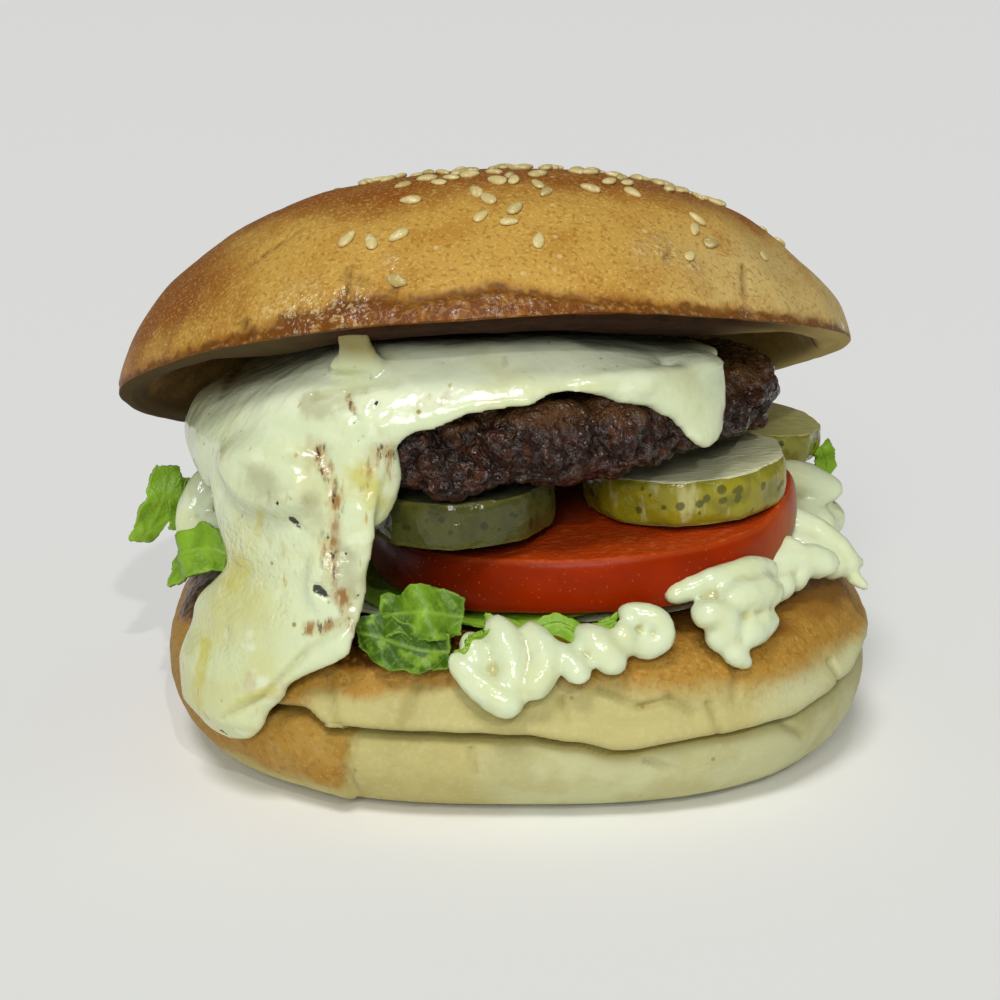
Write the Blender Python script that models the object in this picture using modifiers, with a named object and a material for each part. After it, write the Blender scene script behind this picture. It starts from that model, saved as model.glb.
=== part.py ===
"""Cheeseburger: an open-mouthed burger, standing on its heel bun.

The heel bun's foot is centred on the origin.  -Y is the front, where the filling
shows, and the crown bun leans back over the stack like an open clam.
Lengths are in millimetres until a mesh is filled, which turns them to metres.
"""

import bmesh
import bpy
from math import asin, atan2, cos, degrees, exp, hypot, pi, radians, sin, sqrt, tan
from mathutils import Euler, Matrix, Vector, noise

MM = 0.001
GAP = 0.4                       # air between neighbouring pieces

# Heel bun
HEEL_RADIUS = 56.0
HEEL_FOOT = 40.5                # radius of the flat it stands on
HEEL_WAIST = 14.0               # height of the widest line
HEEL_SQUARE = 2.4               # superellipse exponent of its outline from above
HEEL_TOP = 26.0
HEEL_TOP_RADIUS = 44.0          # inside this the cut face is pressed down
HEEL_DISH = 1.2
HEEL_RISE = 4.5                 # the cut face climbs towards the back right
HEEL_RISE_ANGLE = 32.0
HEEL_FOOT_END = 0.14            # where along its section the foot ends and the cut face starts
HEEL_TOP_START = 0.84
HEEL_SIDE_CURVE = 0.75          # below 1 makes the side rounder than an ellipse
HEEL_UNEVEN = 0.9
CREASE_DEPTH = 1.8
CREASE_WIDTH = 1.5
CREASE_HEIGHT = 13.0
CREASE_SWAY = 1.6               # the crease rises towards both ends
CREASE_FRONT = 282.0            # direction of its middle, and where it fades out
CREASE_ENDS = (48.0, 66.0)

# Crown bun
CROWN_CENTRE = Vector((-5.2, 0.0, 54.7))
CROWN_PITCH = -19.2             # degrees, lifts the front
CROWN_ROLL = -3.5               # degrees, lifts the right side
CROWN_RADIUS = 58.1
CROWN_HEIGHT = 28.3
CROWN_LIFT = 4.3                # the rim curls up at the back right
CROWN_LIFT_ANGLE = 38.0
CROWN_SHOULDER = 4.13           # superellipse exponents of the dome
CROWN_CURVE = 0.775
CROWN_LIP = 2.4                 # how far the rounded lip hangs under the cut face
CROWN_LIP_WIDTH = 3.6
CROWN_LIP_START = 0.40          # where along its section the lip and the skin start
CROWN_SKIN_START = 0.48
CROWN_DISH = 1.2                # the cut face rises this much to its middle
CROWN_UNEVEN = 0.9

# Patty
PATTY_CENTRE = Vector((-5.0, -12.0, 54.5))
PATTY_RADII = (44.0, 38.0)
PATTY_THICKNESS = 12.0
PATTY_ROLL = -2.0
PATTY_DROOP = 0.0025            # per mm of the squared distance behind its middle
PATTY_CRAG = 1.3

# Cheese
CHEESE_THICKNESS = 3.0
CHEESE_CLEARANCE = GAP + 0.5    # from the patty to the sheet

# Tomato slice
TOMATO_CENTRE = Vector((9.5, -17.0, 34.9))
TOMATO_RADII = (33.0, 29.5)
TOMATO_THICKNESS = 8.3
TOMATO_TILT = (2.5, -3.0)

# Pickle slices: middle, radius, thickness, pitch and roll
PICKLES = {
    "pickle_front_right": ((25.0, -21.0, 44.2), 15.5, 7.0, 3.0, -3.5),
    "pickle_front_left": ((-9.0, -33.0, 43.2), 14.0, 7.0, 2.0, -2.0),
    "pickle_back_right": ((38.6, 9.5, 44.7), 11.4, 5.2, 4.5, 8.0),
    "pickle_back_left": ((-42.0, 11.0, 40.5), 11.5, 5.0, -2.0, -4.0),
}

# Mayonnaise
BED_RADIUS = 42.0
BED_CLEARANCE = 2.9             # from the bed's top to the tomato
ROPE_RADIUS = 3.0
ROPE_LOOP = 7.5                 # arc length of one piped loop
ROPE_SWING = 4.2

LETTUCE_THICKNESS = 0.8


def clear_scene():
    for old in list(bpy.data.objects):
        bpy.data.objects.remove(old, do_unlink=True)


def collection(name):
    made = bpy.data.collections.new(name)
    bpy.context.scene.collection.children.link(made)
    return made


def linear(hex_colour):
    channels = [int(hex_colour[i:i + 2], 16) / 255 for i in (1, 3, 5)]
    return [c / 12.92 if c <= 0.04045 else ((c + 0.055) / 1.055) ** 2.4 for c in channels] + [1.0]


def finish(name, colour, roughness):
    material = bpy.data.materials.new(name)
    material.use_nodes = True
    shader = material.node_tree.nodes["Principled BSDF"]
    shader.inputs["Base Color"].default_value = linear(colour)
    shader.inputs["Roughness"].default_value = roughness
    shader.inputs["Metallic"].default_value = 0.0
    return material


def bump(x, y, z, size, seed):
    """Smooth unevenness between about -1 and 1, with features of the given size."""
    return noise.noise(Vector((x, y, z)) / size + Vector((seed * 7.3, seed * 3.1, seed * 5.7)))


def smooth_max(a, b, width):
    return 0.5 * (a + b + sqrt((a - b) ** 2 + width ** 2))


def smooth_step(x, low, high):
    t = min(1.0, max(0.0, (x - low) / (high - low)))
    return t * t * (3.0 - 2.0 * t)


def turn_gap(angle, middle):
    """Degrees between two directions, from -180 to 180."""
    return (angle - middle + 180.0) % 360.0 - 180.0


def between(stations, x):
    """Read a smooth curve through (x, value, ...) stations."""
    if x <= stations[0][0]:
        return stations[0][1:]
    for low, high in zip(stations, stations[1:]):
        if x <= high[0]:
            t = smooth_step(x, low[0], high[0])
            return tuple(a + (b - a) * t for a, b in zip(low[1:], high[1:]))
    return stations[-1][1:]


def add_object(name, mesh, material, home):
    mesh.materials.append(material)
    made = bpy.data.objects.new(name, mesh)
    home.objects.link(made)
    mesh.shade_smooth()
    mesh.set_sharp_from_angle(angle=radians(50))
    return made


def shaped_ball(name, segments, rings, shape, material, home):
    """A sphere whose points move to shape(longitude, t), t running from foot to top."""
    bm = bmesh.new()
    bmesh.ops.create_uvsphere(bm, u_segments=segments, v_segments=rings, radius=1.0)
    for vert in bm.verts:
        x, y, z = vert.co
        t = asin(max(-1.0, min(1.0, z))) / pi + 0.5
        vert.co = Vector(shape(atan2(y, x), t)) * MM
    mesh = bpy.data.meshes.new(name)
    bm.to_mesh(mesh)
    bm.free()
    return add_object(name, mesh, material, home)


def apply_all(made, home):
    """Turn an object with modifiers into a plain mesh object of the same name."""
    name = made.name
    bpy.context.view_layer.update()
    evaluated = made.evaluated_get(bpy.context.evaluated_depsgraph_get())
    mesh = bpy.data.meshes.new_from_object(evaluated)
    mesh.transform(made.matrix_world)
    bpy.data.objects.remove(made, do_unlink=True)
    bm = bmesh.new()
    bm.from_mesh(mesh)
    bmesh.ops.remove_doubles(bm, verts=bm.verts, dist=0.00002)
    bm.to_mesh(mesh)
    bm.free()
    plain = bpy.data.objects.new(name, mesh)
    home.objects.link(plain)
    return plain


def keep_largest(made):
    """Drop crumbs that a cut leaves beside the main body."""
    bm = bmesh.new()
    bm.from_mesh(made.data)
    unseen = set(bm.verts)
    bodies = []
    while unseen:
        stack = [unseen.pop()]
        body = []
        while stack:
            vert = stack.pop()
            body.append(vert)
            for edge in vert.link_edges:
                other = edge.other_vert(vert)
                if other in unseen:
                    unseen.remove(other)
                    stack.append(other)
        bodies.append(body)
    bodies.sort(key=len)
    for body in bodies[:-1]:
        bmesh.ops.delete(bm, geom=body, context="VERTS")
    bm.to_mesh(made.data)
    bm.free()


def boxes_meet(first, second):
    """Whether two objects' boxes come within the gap of each other."""
    corners = [[piece.matrix_world @ Vector(corner) for corner in piece.bound_box] for piece in (first, second)]
    for axis in range(3):
        low = max(min(corner[axis] for corner in box) for box in corners)
        high = min(max(corner[axis] for corner in box) for box in corners)
        if low > high + 2.0 * GAP * MM:
            return False
    return True


def cut_clear(made, neighbours, home, cutters, gap=GAP):
    """Trim an object wherever a neighbour, grown by the gap, reaches into it."""
    for neighbour in neighbours:
        if not boxes_meet(made, neighbour):
            continue
        cutter = bpy.data.objects.new("cutter_" + neighbour.name, neighbour.data.copy())
        cutter.matrix_world = neighbour.matrix_world
        cutters.objects.link(cutter)
        grow = cutter.modifiers.new("grow", "DISPLACE")
        grow.strength = gap * MM
        grow.mid_level = 0.0
        if gap > 2.5 * GAP:
            melt = cutter.modifiers.new("melt", "REMESH")
            melt.mode = "VOXEL"
            melt.voxel_size = 0.5 * MM
        cut = made.modifiers.new("clear", "BOOLEAN")
        cut.operation = "DIFFERENCE"
        cut.solver = "EXACT"
        cut.object = cutter
        made = apply_all(made, home)
        bpy.data.objects.remove(cutter, do_unlink=True)
        keep_largest(made)
    return made


# ---------------------------------------------------------------- heel bun

def heel_outline(angle):
    """How far the outline from above bulges past a circle, as a factor."""
    side, front = abs(cos(radians(angle))), abs(sin(radians(angle)))
    square = (side ** HEEL_SQUARE + front ** HEEL_SQUARE) ** (-1.0 / HEEL_SQUARE)
    return square - 0.03 * exp(-(turn_gap(angle, 270.0) / 28.0) ** 2)


def heel_height(angle):
    """Height of the cut face's rim in the direction angle, in degrees."""
    return HEEL_TOP + HEEL_RISE * max(0.0, cos(radians(turn_gap(angle, HEEL_RISE_ANGLE)))) ** 2


def heel_point(angle, t):
    """A point of the heel: t runs from the foot's middle (0) over the side to the top's (1)."""
    top = heel_height(angle)
    if t < HEEL_FOOT_END:
        radius, height = HEEL_FOOT * t / HEEL_FOOT_END, 0.0
    elif t > HEEL_TOP_START:
        radius = HEEL_TOP_RADIUS * (1.0 - t) / (1.0 - HEEL_TOP_START)
        height = top - HEEL_DISH * (1.0 - (radius / HEEL_TOP_RADIUS) ** 2)
        height -= (top - HEEL_TOP) * (1.0 - (radius / HEEL_TOP_RADIUS) ** 3)
    else:
        u = (t - HEEL_FOOT_END) / (HEEL_TOP_START - HEEL_FOOT_END)
        swing = radians(-90.0 + 180.0 * u)
        if swing < 0.0:
            height = HEEL_WAIST * (1.0 + sin(swing))
            radius = HEEL_FOOT + (HEEL_RADIUS - HEEL_FOOT) * cos(swing) ** HEEL_SIDE_CURVE
        else:
            height = HEEL_WAIST + (top - HEEL_WAIST) * sin(swing)
            radius = HEEL_TOP_RADIUS + (HEEL_RADIUS - HEEL_TOP_RADIUS) * cos(swing) ** HEEL_SIDE_CURVE
        middle = CREASE_HEIGHT + CREASE_SWAY * cos(radians(2.0 * turn_gap(angle, 200.0)))
        front = 1.0 - smooth_step(abs(turn_gap(angle, CREASE_FRONT)), *CREASE_ENDS)
        radius -= CREASE_DEPTH * front * exp(-((height - middle) / CREASE_WIDTH) ** 2)
    return radius * heel_outline(angle), height


def heel_shape(longitude, t):
    radius, height = heel_point(degrees(longitude), t)
    x, y = radius * cos(longitude), radius * sin(longitude)
    uneven = HEEL_UNEVEN * bump(x, y, height, 24.0, 1) * smooth_step(t, HEEL_FOOT_END, 0.4)
    radius += uneven * (1.0 - smooth_step(t, 0.8, 0.9))
    return radius * cos(longitude), radius * sin(longitude), height


def over_heel(angle, reach, lift):
    """The point lift mm off the heel's skin, reach mm outside the start of its rounded rim."""
    t, step = HEEL_TOP_START, 0.004
    here = Vector(heel_point(angle, t))
    if reach <= 0.0:
        inside = (HEEL_TOP_RADIUS + reach) / HEEL_TOP_RADIUS
        along_section = 1.0 - (1.0 - HEEL_TOP_START) * inside
        spot, out = Vector(heel_point(angle, along_section)), Vector((0.0, 1.0))
    else:
        walked = 0.0
        while walked < reach and t > 0.2:
            t -= step
            there = Vector(heel_point(angle, t))
            walked += (there - here).length
            here, before = there, here
        along = (here - before).normalized()
        spot, out = here, Vector((-along.y, along.x))
        if out.x < 0.0:
            out = -out
    spot = spot + out * lift
    return Vector((spot.x * cos(radians(angle)), spot.x * sin(radians(angle)), spot.y))


# ---------------------------------------------------------------- patty and cheese

def patty_middle(x, y):
    """Height of the patty's middle layer: it lies level in front and sags behind."""
    behind = max(0.0, y - PATTY_CENTRE.y + 4.0)
    tilt = tan(radians(-PATTY_ROLL)) * (x - PATTY_CENTRE.x)
    return PATTY_CENTRE.z + tilt - PATTY_DROOP * behind ** 2


def patty_edge(angle):
    """The patty's radius in a direction from its middle, in degrees."""
    a, b = PATTY_RADII
    plain = 1.0 / sqrt((cos(radians(angle)) / a) ** 2 + (sin(radians(angle)) / b) ** 2)
    return plain + 0.8 * sin(radians(5.0 * angle + 40.0))


def patty_shape(longitude, t):
    angle = degrees(longitude)
    edge = patty_edge(angle)
    face = 0.26
    round_edge = 5.0
    if t < face:
        radius, height = (edge - round_edge) * t / face, -1.0
    elif t > 1.0 - face:
        radius, height = (edge - round_edge) * (1.0 - t) / face, 1.0
    else:
        swing = pi * ((t - face) / (1.0 - 2.0 * face) - 0.5)
        height = sin(swing)
        radius = edge - round_edge + round_edge * cos(swing) ** 0.8
    x = PATTY_CENTRE.x + radius * cos(longitude)
    y = PATTY_CENTRE.y + radius * sin(longitude)
    z = height * PATTY_THICKNESS / 2.0
    side = smooth_step(radius, edge - 9.0, edge - 2.0)
    radius += PATTY_CRAG * side * bump(x, y, z, 5.0, 2)
    z += 0.7 * side * bump(x, y, z, 4.0, 3) - 0.5 * side * height
    x = PATTY_CENTRE.x + radius * cos(longitude)
    y = PATTY_CENTRE.y + radius * sin(longitude)
    return x, y, z + patty_middle(x, y)


# How far the cheese runs past the start of the patty's rounded edge, by direction
# from the patty's middle: it stops short on the right and hangs on the left.
CHEESE_RUN = (
    (-45.0, 6.0), (-28.0, 2.0), (-10.0, -4.0), (20.0, -3.0), (48.0, 6.0), (80.0, 10.0),
    (110.0, 12.0), (140.0, 15.0), (160.0, 19.0), (190.0, 18.0), (215.0, 20.0), (245.0, 17.0),
    (258.0, 9.0), (270.0, 5.5), (290.0, 4.5), (315.0, 6.0),
)


def cheese_path(angle, walked):
    """Radius and drop of the sheet's middle, walked mm out from its centre."""
    corner = 4.0
    flat = patty_edge(angle) - corner
    bend = corner + CHEESE_CLEARANCE + CHEESE_THICKNESS / 2.0
    if walked < flat:
        return walked, 0.0, 0.0
    if walked < flat + bend * pi / 2.0:
        turn = (walked - flat) / bend
        return flat + bend * sin(turn), -bend * (1.0 - cos(turn)), turn
    return flat + bend, -bend - (walked - flat - bend * pi / 2.0), pi / 2.0


def cheese_top(x, y):
    return patty_middle(x, y) + PATTY_THICKNESS / 2.0 + CHEESE_CLEARANCE + CHEESE_THICKNESS


def cheese_shape(longitude, t):
    """Outer skin for t over a half, inner skin below, meeting in the rounded hem."""
    angle = degrees(longitude)
    ring = (angle + 45.0) % 360.0 - 45.0
    run = between(CHEESE_RUN, ring)[0]
    length = patty_edge(angle) - 4.0 + run + 0.8 * sin(radians(11.0 * angle))
    outward = 1.0 if t >= 0.5 else -1.0
    q = 1.0 - abs(2.0 * t - 1.0) ** 1.6
    half = CHEESE_THICKNESS / 2.0 * sqrt(max(0.0, 1.0 - q ** 14))
    radius, drop, turn = cheese_path(angle, q * length)
    radius += outward * half * sin(turn)
    x = PATTY_CENTRE.x + radius * cos(longitude)
    y = PATTY_CENTRE.y + radius * sin(longitude)
    middle = cheese_top(x, y) - CHEESE_THICKNESS / 2.0
    return x, y, middle + drop + outward * half * cos(turn)


# The drip's stations from its tip upwards: height, direction, half width, half
# thickness and distance from the heel's axis.
DRIP = (
    (9.6, 226.0, 0.5, 0.4, 60.4), (11.6, 225.5, 7.0, 2.2, 60.8), (14.6, 224.8, 9.6, 2.8, 61.4),
    (20.0, 226.0, 11.8, 2.8, 61.2), (27.0, 231.0, 16.0, 2.6, 59.2), (36.0, 234.5, 13.0, 2.6, 56.6),
    (44.0, 233.0, 15.5, 2.6, 56.2), (52.0, 231.0, 18.0, 2.0, 55.2), (57.0, 231.0, 12.0, 0.8, 54.2),
)


def drip_shape(longitude, t):
    bottom, top = DRIP[0][0], DRIP[-1][0]
    height = bottom + (top - bottom) * t
    direction, half_width, half_thick, distance = between(DRIP, height)
    closing = sqrt(max(0.0, 1.0 - (2.0 * t - 1.0) ** 12))
    across = half_width * closing * cos(longitude)
    radius = distance + half_thick * closing * sin(longitude)
    angle = radians(direction) + across / distance
    return radius * cos(angle), radius * sin(angle), height


def string_shape(longitude, t):
    """A short string of cheese that stretches up to the crown."""
    foot, top = Vector((-23.5, -37.0, 61.5)), Vector((-22.8, -40.0, 67.4))
    spot = foot.lerp(top, t)
    radius = (1.9 + 1.6 * (2.0 * t - 1.0) ** 2) * sqrt(max(0.0, 1.0 - (2.0 * t - 1.0) ** 10))
    return spot.x + 1.5 * radius * cos(longitude), spot.y + 0.8 * radius * sin(longitude), spot.z


def drop_shape(longitude, t):
    """The round drop that hangs from the sheet's front right corner."""
    foot, top = Vector((27.6, -38.6, 53.4)), Vector((27.0, -38.0, 64.0))
    spot = foot.lerp(top, t)
    radius = 3.4 * sqrt(max(0.0, 1.0 - (2.0 * t - 1.0) ** 4))
    return spot.x + radius * cos(longitude), spot.y + 0.62 * radius * sin(longitude), spot.z


def make_cheese(material, home):
    sheet = shaped_ball("cheese", 34, 14, cheese_shape, material, home)
    extras = [
        shaped_ball("cheese_drip", 16, 12, drip_shape, material, home),
        shaped_ball("cheese_string", 10, 6, string_shape, material, home),
        shaped_ball("cheese_drop", 12, 8, drop_shape, material, home),
    ]
    for extra in extras:
        join = sheet.modifiers.new("join_" + extra.name, "BOOLEAN")
        join.operation = "UNION"
        join.solver = "EXACT"
        join.object = extra
    joined = apply_all(sheet, home)
    for extra in extras:
        bpy.data.objects.remove(extra, do_unlink=True)
    return joined


# ---------------------------------------------------------------- crown bun

CROWN_PLACE = Matrix.Translation(CROWN_CENTRE) @ Euler(
    (radians(CROWN_PITCH), radians(CROWN_ROLL), 0.0), "XYZ").to_matrix().to_4x4()


def stack_roof(x, y):
    """Height that the crown's underside keeps clear of: the cheese over the patty."""
    reach = hypot((x - PATTY_CENTRE.x) / (PATTY_RADII[0] + 3.5),
                  (y - PATTY_CENTRE.y) / (PATTY_RADII[1] + 3.5))
    return cheese_top(x, y) + GAP + 0.4 - 70.0 * max(0.0, reach - 1.0)


def crown_shape(longitude, t):
    """Dome above, rounded lip, and a cut face that sinks into the stack below it."""
    if t >= CROWN_SKIN_START:
        swing = (1.0 - (t - CROWN_SKIN_START) / (1.0 - CROWN_SKIN_START)) * pi / 2.0
        part = sin(swing)
        radius = CROWN_RADIUS * part
        height = CROWN_HEIGHT * max(0.0, 1.0 - part ** CROWN_SHOULDER) ** CROWN_CURVE
    elif t >= CROWN_LIP_START:
        swing = (CROWN_SKIN_START - t) / (CROWN_SKIN_START - CROWN_LIP_START) * pi / 2.0
        radius = CROWN_RADIUS - CROWN_LIP_WIDTH * (1.0 - cos(swing))
        height = -CROWN_LIP * sin(swing)
    else:
        radius = (CROWN_RADIUS - CROWN_LIP_WIDTH) * t / CROWN_LIP_START
        height = -CROWN_LIP + CROWN_DISH * (1.0 - t / CROWN_LIP_START)
    x = radius * cos(longitude) + 0.8 * height / CROWN_HEIGHT
    y = radius * sin(longitude)
    uneven = bump(x, y, height, 26.0, 5)
    radius_gain = CROWN_UNEVEN * uneven * smooth_step(radius, 20.0, 50.0)
    low = (radius / CROWN_RADIUS) ** 5 * (1.0 if t < CROWN_SKIN_START else 1.0 - height / CROWN_HEIGHT)
    lift = CROWN_LIFT * max(0.0, cos(longitude - radians(CROWN_LIFT_ANGLE))) ** 2 * low
    place = CROWN_PLACE @ Vector((x + radius_gain * cos(longitude), y + radius_gain * sin(longitude),
                                  height + 0.5 * uneven + lift))
    if t < CROWN_LIP_START:
        place.z = smooth_max(place.z, stack_roof(place.x, place.y), 1.5)
    return place


# ---------------------------------------------------------------- tomato and pickles

def slab(name, centre, radii, thickness, tilt, segments, lobes, material, home):
    """A slice: a ball pressed to a flat disc with rounded edges, then tilted."""
    def shape(longitude, t):
        plain = 1.0 / hypot(cos(longitude) / radii[0], sin(longitude) / radii[1])
        edge = plain * (1.0 + 0.012 * sin(lobes * longitude + 0.6))
        corner = 0.32 * thickness
        face = 0.24
        if t < face or t > 1.0 - face:
            part = t if t < 0.5 else 1.0 - t
            radius, height = (edge - corner) * part / face, 1.0 if t > 0.5 else -1.0
        else:
            swing = pi * ((t - face) / (1.0 - 2.0 * face) - 0.5)
            radius = edge - corner + corner * cos(swing) ** 0.6
            height = (1.0 if swing > 0 else -1.0) * abs(sin(swing)) ** 0.8
        return radius * cos(longitude), radius * sin(longitude), height * thickness / 2.0

    made = shaped_ball(name, segments, 8, shape, material, home)
    made.location = Vector(centre) * MM
    made.rotation_euler = (radians(tilt[0]), radians(tilt[1]), 0.0)
    return made


def tomato_under(x, y):
    """Height of the tomato slice's lower face, also where it is read outside the slice."""
    rise = tan(radians(TOMATO_TILT[0])) * (y - TOMATO_CENTRE.y)
    rise -= tan(radians(TOMATO_TILT[1])) * (x - TOMATO_CENTRE.x)
    return TOMATO_CENTRE.z - TOMATO_THICKNESS / 2.0 + rise


# ---------------------------------------------------------------- lettuce

def leaf(name, spine, width, ruffle, lean, seed, material, home, columns=12, rows=4):
    """A torn leaf: a grid laid along a curved spine, ruffled at its edges, given a wall."""
    bm = bmesh.new()
    bmesh.ops.create_grid(bm, x_segments=columns, y_segments=rows, size=0.5)
    side = Vector(lean).normalized()
    for vert in bm.verts:
        along, across = vert.co.x + 0.5, vert.co.y
        place = spine_point(spine, along)
        ahead = spine_point(spine, min(1.0, along + 0.02)) - spine_point(spine, max(0.0, along - 0.02))
        up = ahead.cross(side).normalized()
        narrow = width * (0.72 + 0.28 * sin(pi * along)) * (1.0 + 0.25 * bump(along * 9, 0, 0, 2.0, seed))
        wave = ruffle * (0.35 + 1.3 * abs(across)) * sin(4.0 * pi * along + 3.0 * across + seed)
        vert.co = (place + side * across * narrow + up * wave) * MM
    mesh = bpy.data.meshes.new(name)
    bm.to_mesh(mesh)
    bm.free()
    made = add_object(name, mesh, material, home)
    wall = made.modifiers.new("wall", "SOLIDIFY")
    wall.thickness = LETTUCE_THICKNESS * MM
    wall.offset = 0.0
    return made


def spine_point(spine, t):
    """A Catmull-Rom curve through the spine's points, t from 0 to 1."""
    points = [Vector(p) for p in spine]
    points = [2 * points[0] - points[1]] + points + [2 * points[-1] - points[-2]]
    spans = len(points) - 3
    place = min(spans - 1e-6, max(0.0, t * spans))
    i = int(place)
    u = place - i
    a, b, c, d = points[i:i + 4]
    return 0.5 * (2 * b + (c - a) * u + (2 * a - 5 * b + 4 * c - d) * u * u
                  + (3 * b - a - 3 * c + d) * u ** 3)


def bed_leaf_shape(longitude, t):
    """The leaf layer under the tomato: thin, level and ragged at its edge."""
    edge = 31.0 + 2.0 * sin(3.0 * longitude + 1.0) + 1.0 * sin(7.0 * longitude)
    part = 1.0 - abs(2.0 * t - 1.0)
    radius = edge * part ** 0.8
    x, y = 2.0 + radius * cos(longitude), -12.0 + radius * sin(longitude)
    half = LETTUCE_THICKNESS / 2.0 * sqrt(max(0.0, 1.0 - part ** 16))
    wave = 0.35 * sin(x / 3.1) * sin(y / 3.7 + 1.0)
    return x, y, tomato_under(x, y) - 1.4 + wave + (half if t > 0.5 else -half)


# ---------------------------------------------------------------- mayonnaise

def bed_shape(longitude, t):
    """The spread under the leaf and the tomato."""
    edge = BED_RADIUS + 1.5 * sin(5.0 * longitude) + 1.0 * sin(9.0 * longitude + 2.0)
    part = 1.0 - abs(2.0 * t - 1.0)
    radius = edge * part ** 0.8
    x, y = radius * cos(longitude), radius * sin(longitude)
    inside = (1.0 - HEEL_TOP_START) * min(1.0, radius / HEEL_TOP_RADIUS)
    low = heel_point(degrees(longitude), 1.0 - inside)[1] + GAP
    high = min(tomato_under(x, y) - BED_CLEARANCE, low + 3.0)
    high = max(high, low + 0.8)
    closing = sqrt(max(0.0, 1.0 - part ** 10))
    middle, half = (low + high) / 2.0, (high - low) / 2.0 * closing
    return x, y, middle + (half if t > 0.5 else -half)


def rope_point(walked, start, turn_radius):
    """The piped rope: loops that swing between the rim and the heel's side."""
    angle = start + degrees(walked / turn_radius)
    phase = 2.0 * pi * walked / ROPE_LOOP
    front = exp(-(turn_gap(angle, 269.0) / 13.0) ** 2)
    side = 1.0 - smooth_step(turn_gap(angle, 285.0), 20.0, 45.0)
    swing = ROPE_SWING * (1.0 + 0.25 * bump(walked, 0, 0, 15.0, 6))
    reach = 0.5 + 3.5 * side + 5.0 * front + swing * cos(phase)
    lift = ROPE_RADIUS + 1.2 + 1.0 * sin(phase)
    return over_heel(angle + 3.2 * sin(phase), reach, lift)


def tube(name, points, radius, material, home, swell=0.12):
    """A closed round strand along the points."""
    curve = bpy.data.curves.new(name, "CURVE")
    curve.dimensions = "3D"
    curve.bevel_depth = radius * MM
    curve.bevel_resolution = 2
    curve.use_fill_caps = True
    spline = curve.splines.new("POLY")
    spline.points.add(len(points) - 1)
    for i, (target, place) in enumerate(zip(spline.points, points)):
        target.co = (*(place * MM), 1.0)
        end = min(i, len(points) - 1 - i)
        target.radius = min(1.0, 0.45 + 0.3 * end) * (1.0 + swell * sin(1.7 * i))
    made = bpy.data.objects.new(name, curve)
    home.objects.link(made)
    return made


# Single strands of the piped rope, where it strays from its ring
STRANDS = {
    "strand_right_top": ((38.0, -8.0, 39.5), (42.5, -7.0, 40.0), (46.0, -5.0, 38.6), (49.5, -4.0, 36.6)),
    "strand_right": ((38.5, -20.0, 34.8), (43.0, -19.0, 35.2), (47.0, -19.5, 33.0), (51.0, -20.5, 29.6),
                     (53.5, -21.5, 28.2)),
    "strand_right_low": ((36.0, -30.0, 29.8), (41.0, -28.0, 31.0), (45.5, -26.5, 29.8)),
}
LEFT_STRANDS = {
    "left_up": ((-46.5, -10.0, 43.0), (-49.6, -11.5, 40.0), (-51.8, -12.5, 35.0), (-51.5, -12.0, 30.5)),
    "left_low": ((-51.5, -13.0, 32.5), (-48.0, -15.5, 34.6), (-43.0, -18.0, 36.5)),
}


def strands(routes, material, home):
    made = []
    for name, spine in routes.items():
        points = [spine_point(spine, i / 12.0) for i in range(13)]
        made.append(tube(name, points, 2.3, material, home))
    return made


def fuse(name, pieces, voxel, material, home):
    """Melt overlapping pieces into one body."""
    bpy.context.view_layer.update()
    graph = bpy.context.evaluated_depsgraph_get()
    bm = bmesh.new()
    for piece in pieces:
        bm.from_mesh(bpy.data.meshes.new_from_object(piece.evaluated_get(graph)))
        bpy.data.objects.remove(piece, do_unlink=True)
    bmesh.ops.remove_doubles(bm, verts=bm.verts, dist=0.00002)
    mesh = bpy.data.meshes.new(name)
    bm.to_mesh(mesh)
    bm.free()
    made = add_object(name, mesh, material, home)
    melt = made.modifiers.new("melt", "REMESH")
    melt.mode = "VOXEL"
    melt.voxel_size = voxel * MM
    soften = made.modifiers.new("soften", "SMOOTH")
    soften.iterations = 3
    return apply_all(made, home)


def thin_out(made, voxel, triangles, home):
    """Clean a cut mesh and bring it down to about so many triangles."""
    melt = made.modifiers.new("melt", "REMESH")
    melt.mode = "VOXEL"
    melt.voxel_size = voxel * MM
    made = apply_all(made, home)
    made.data.calc_loop_triangles()
    thin = made.modifiers.new("thin", "DECIMATE")
    thin.ratio = triangles / len(made.data.loop_triangles)
    return apply_all(made, home)


def make_mayonnaise(material, home):
    pieces = [shaped_ball("mayonnaise_bed", 40, 12, bed_shape, material, home)]
    step, turn_radius = 1.6, 50.0
    for name, start, arc in (("rope_front", 257.0, 113.0), ("rope_back", 20.0, 150.0)):
        count = int(radians(arc) * turn_radius / step)
        points = [rope_point(i * step, start, turn_radius) for i in range(count)]
        pieces.append(tube(name, points, ROPE_RADIUS, material, home))
    return fuse("mayonnaise", pieces + strands(STRANDS, material, home), 1.1, material, home)


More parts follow.
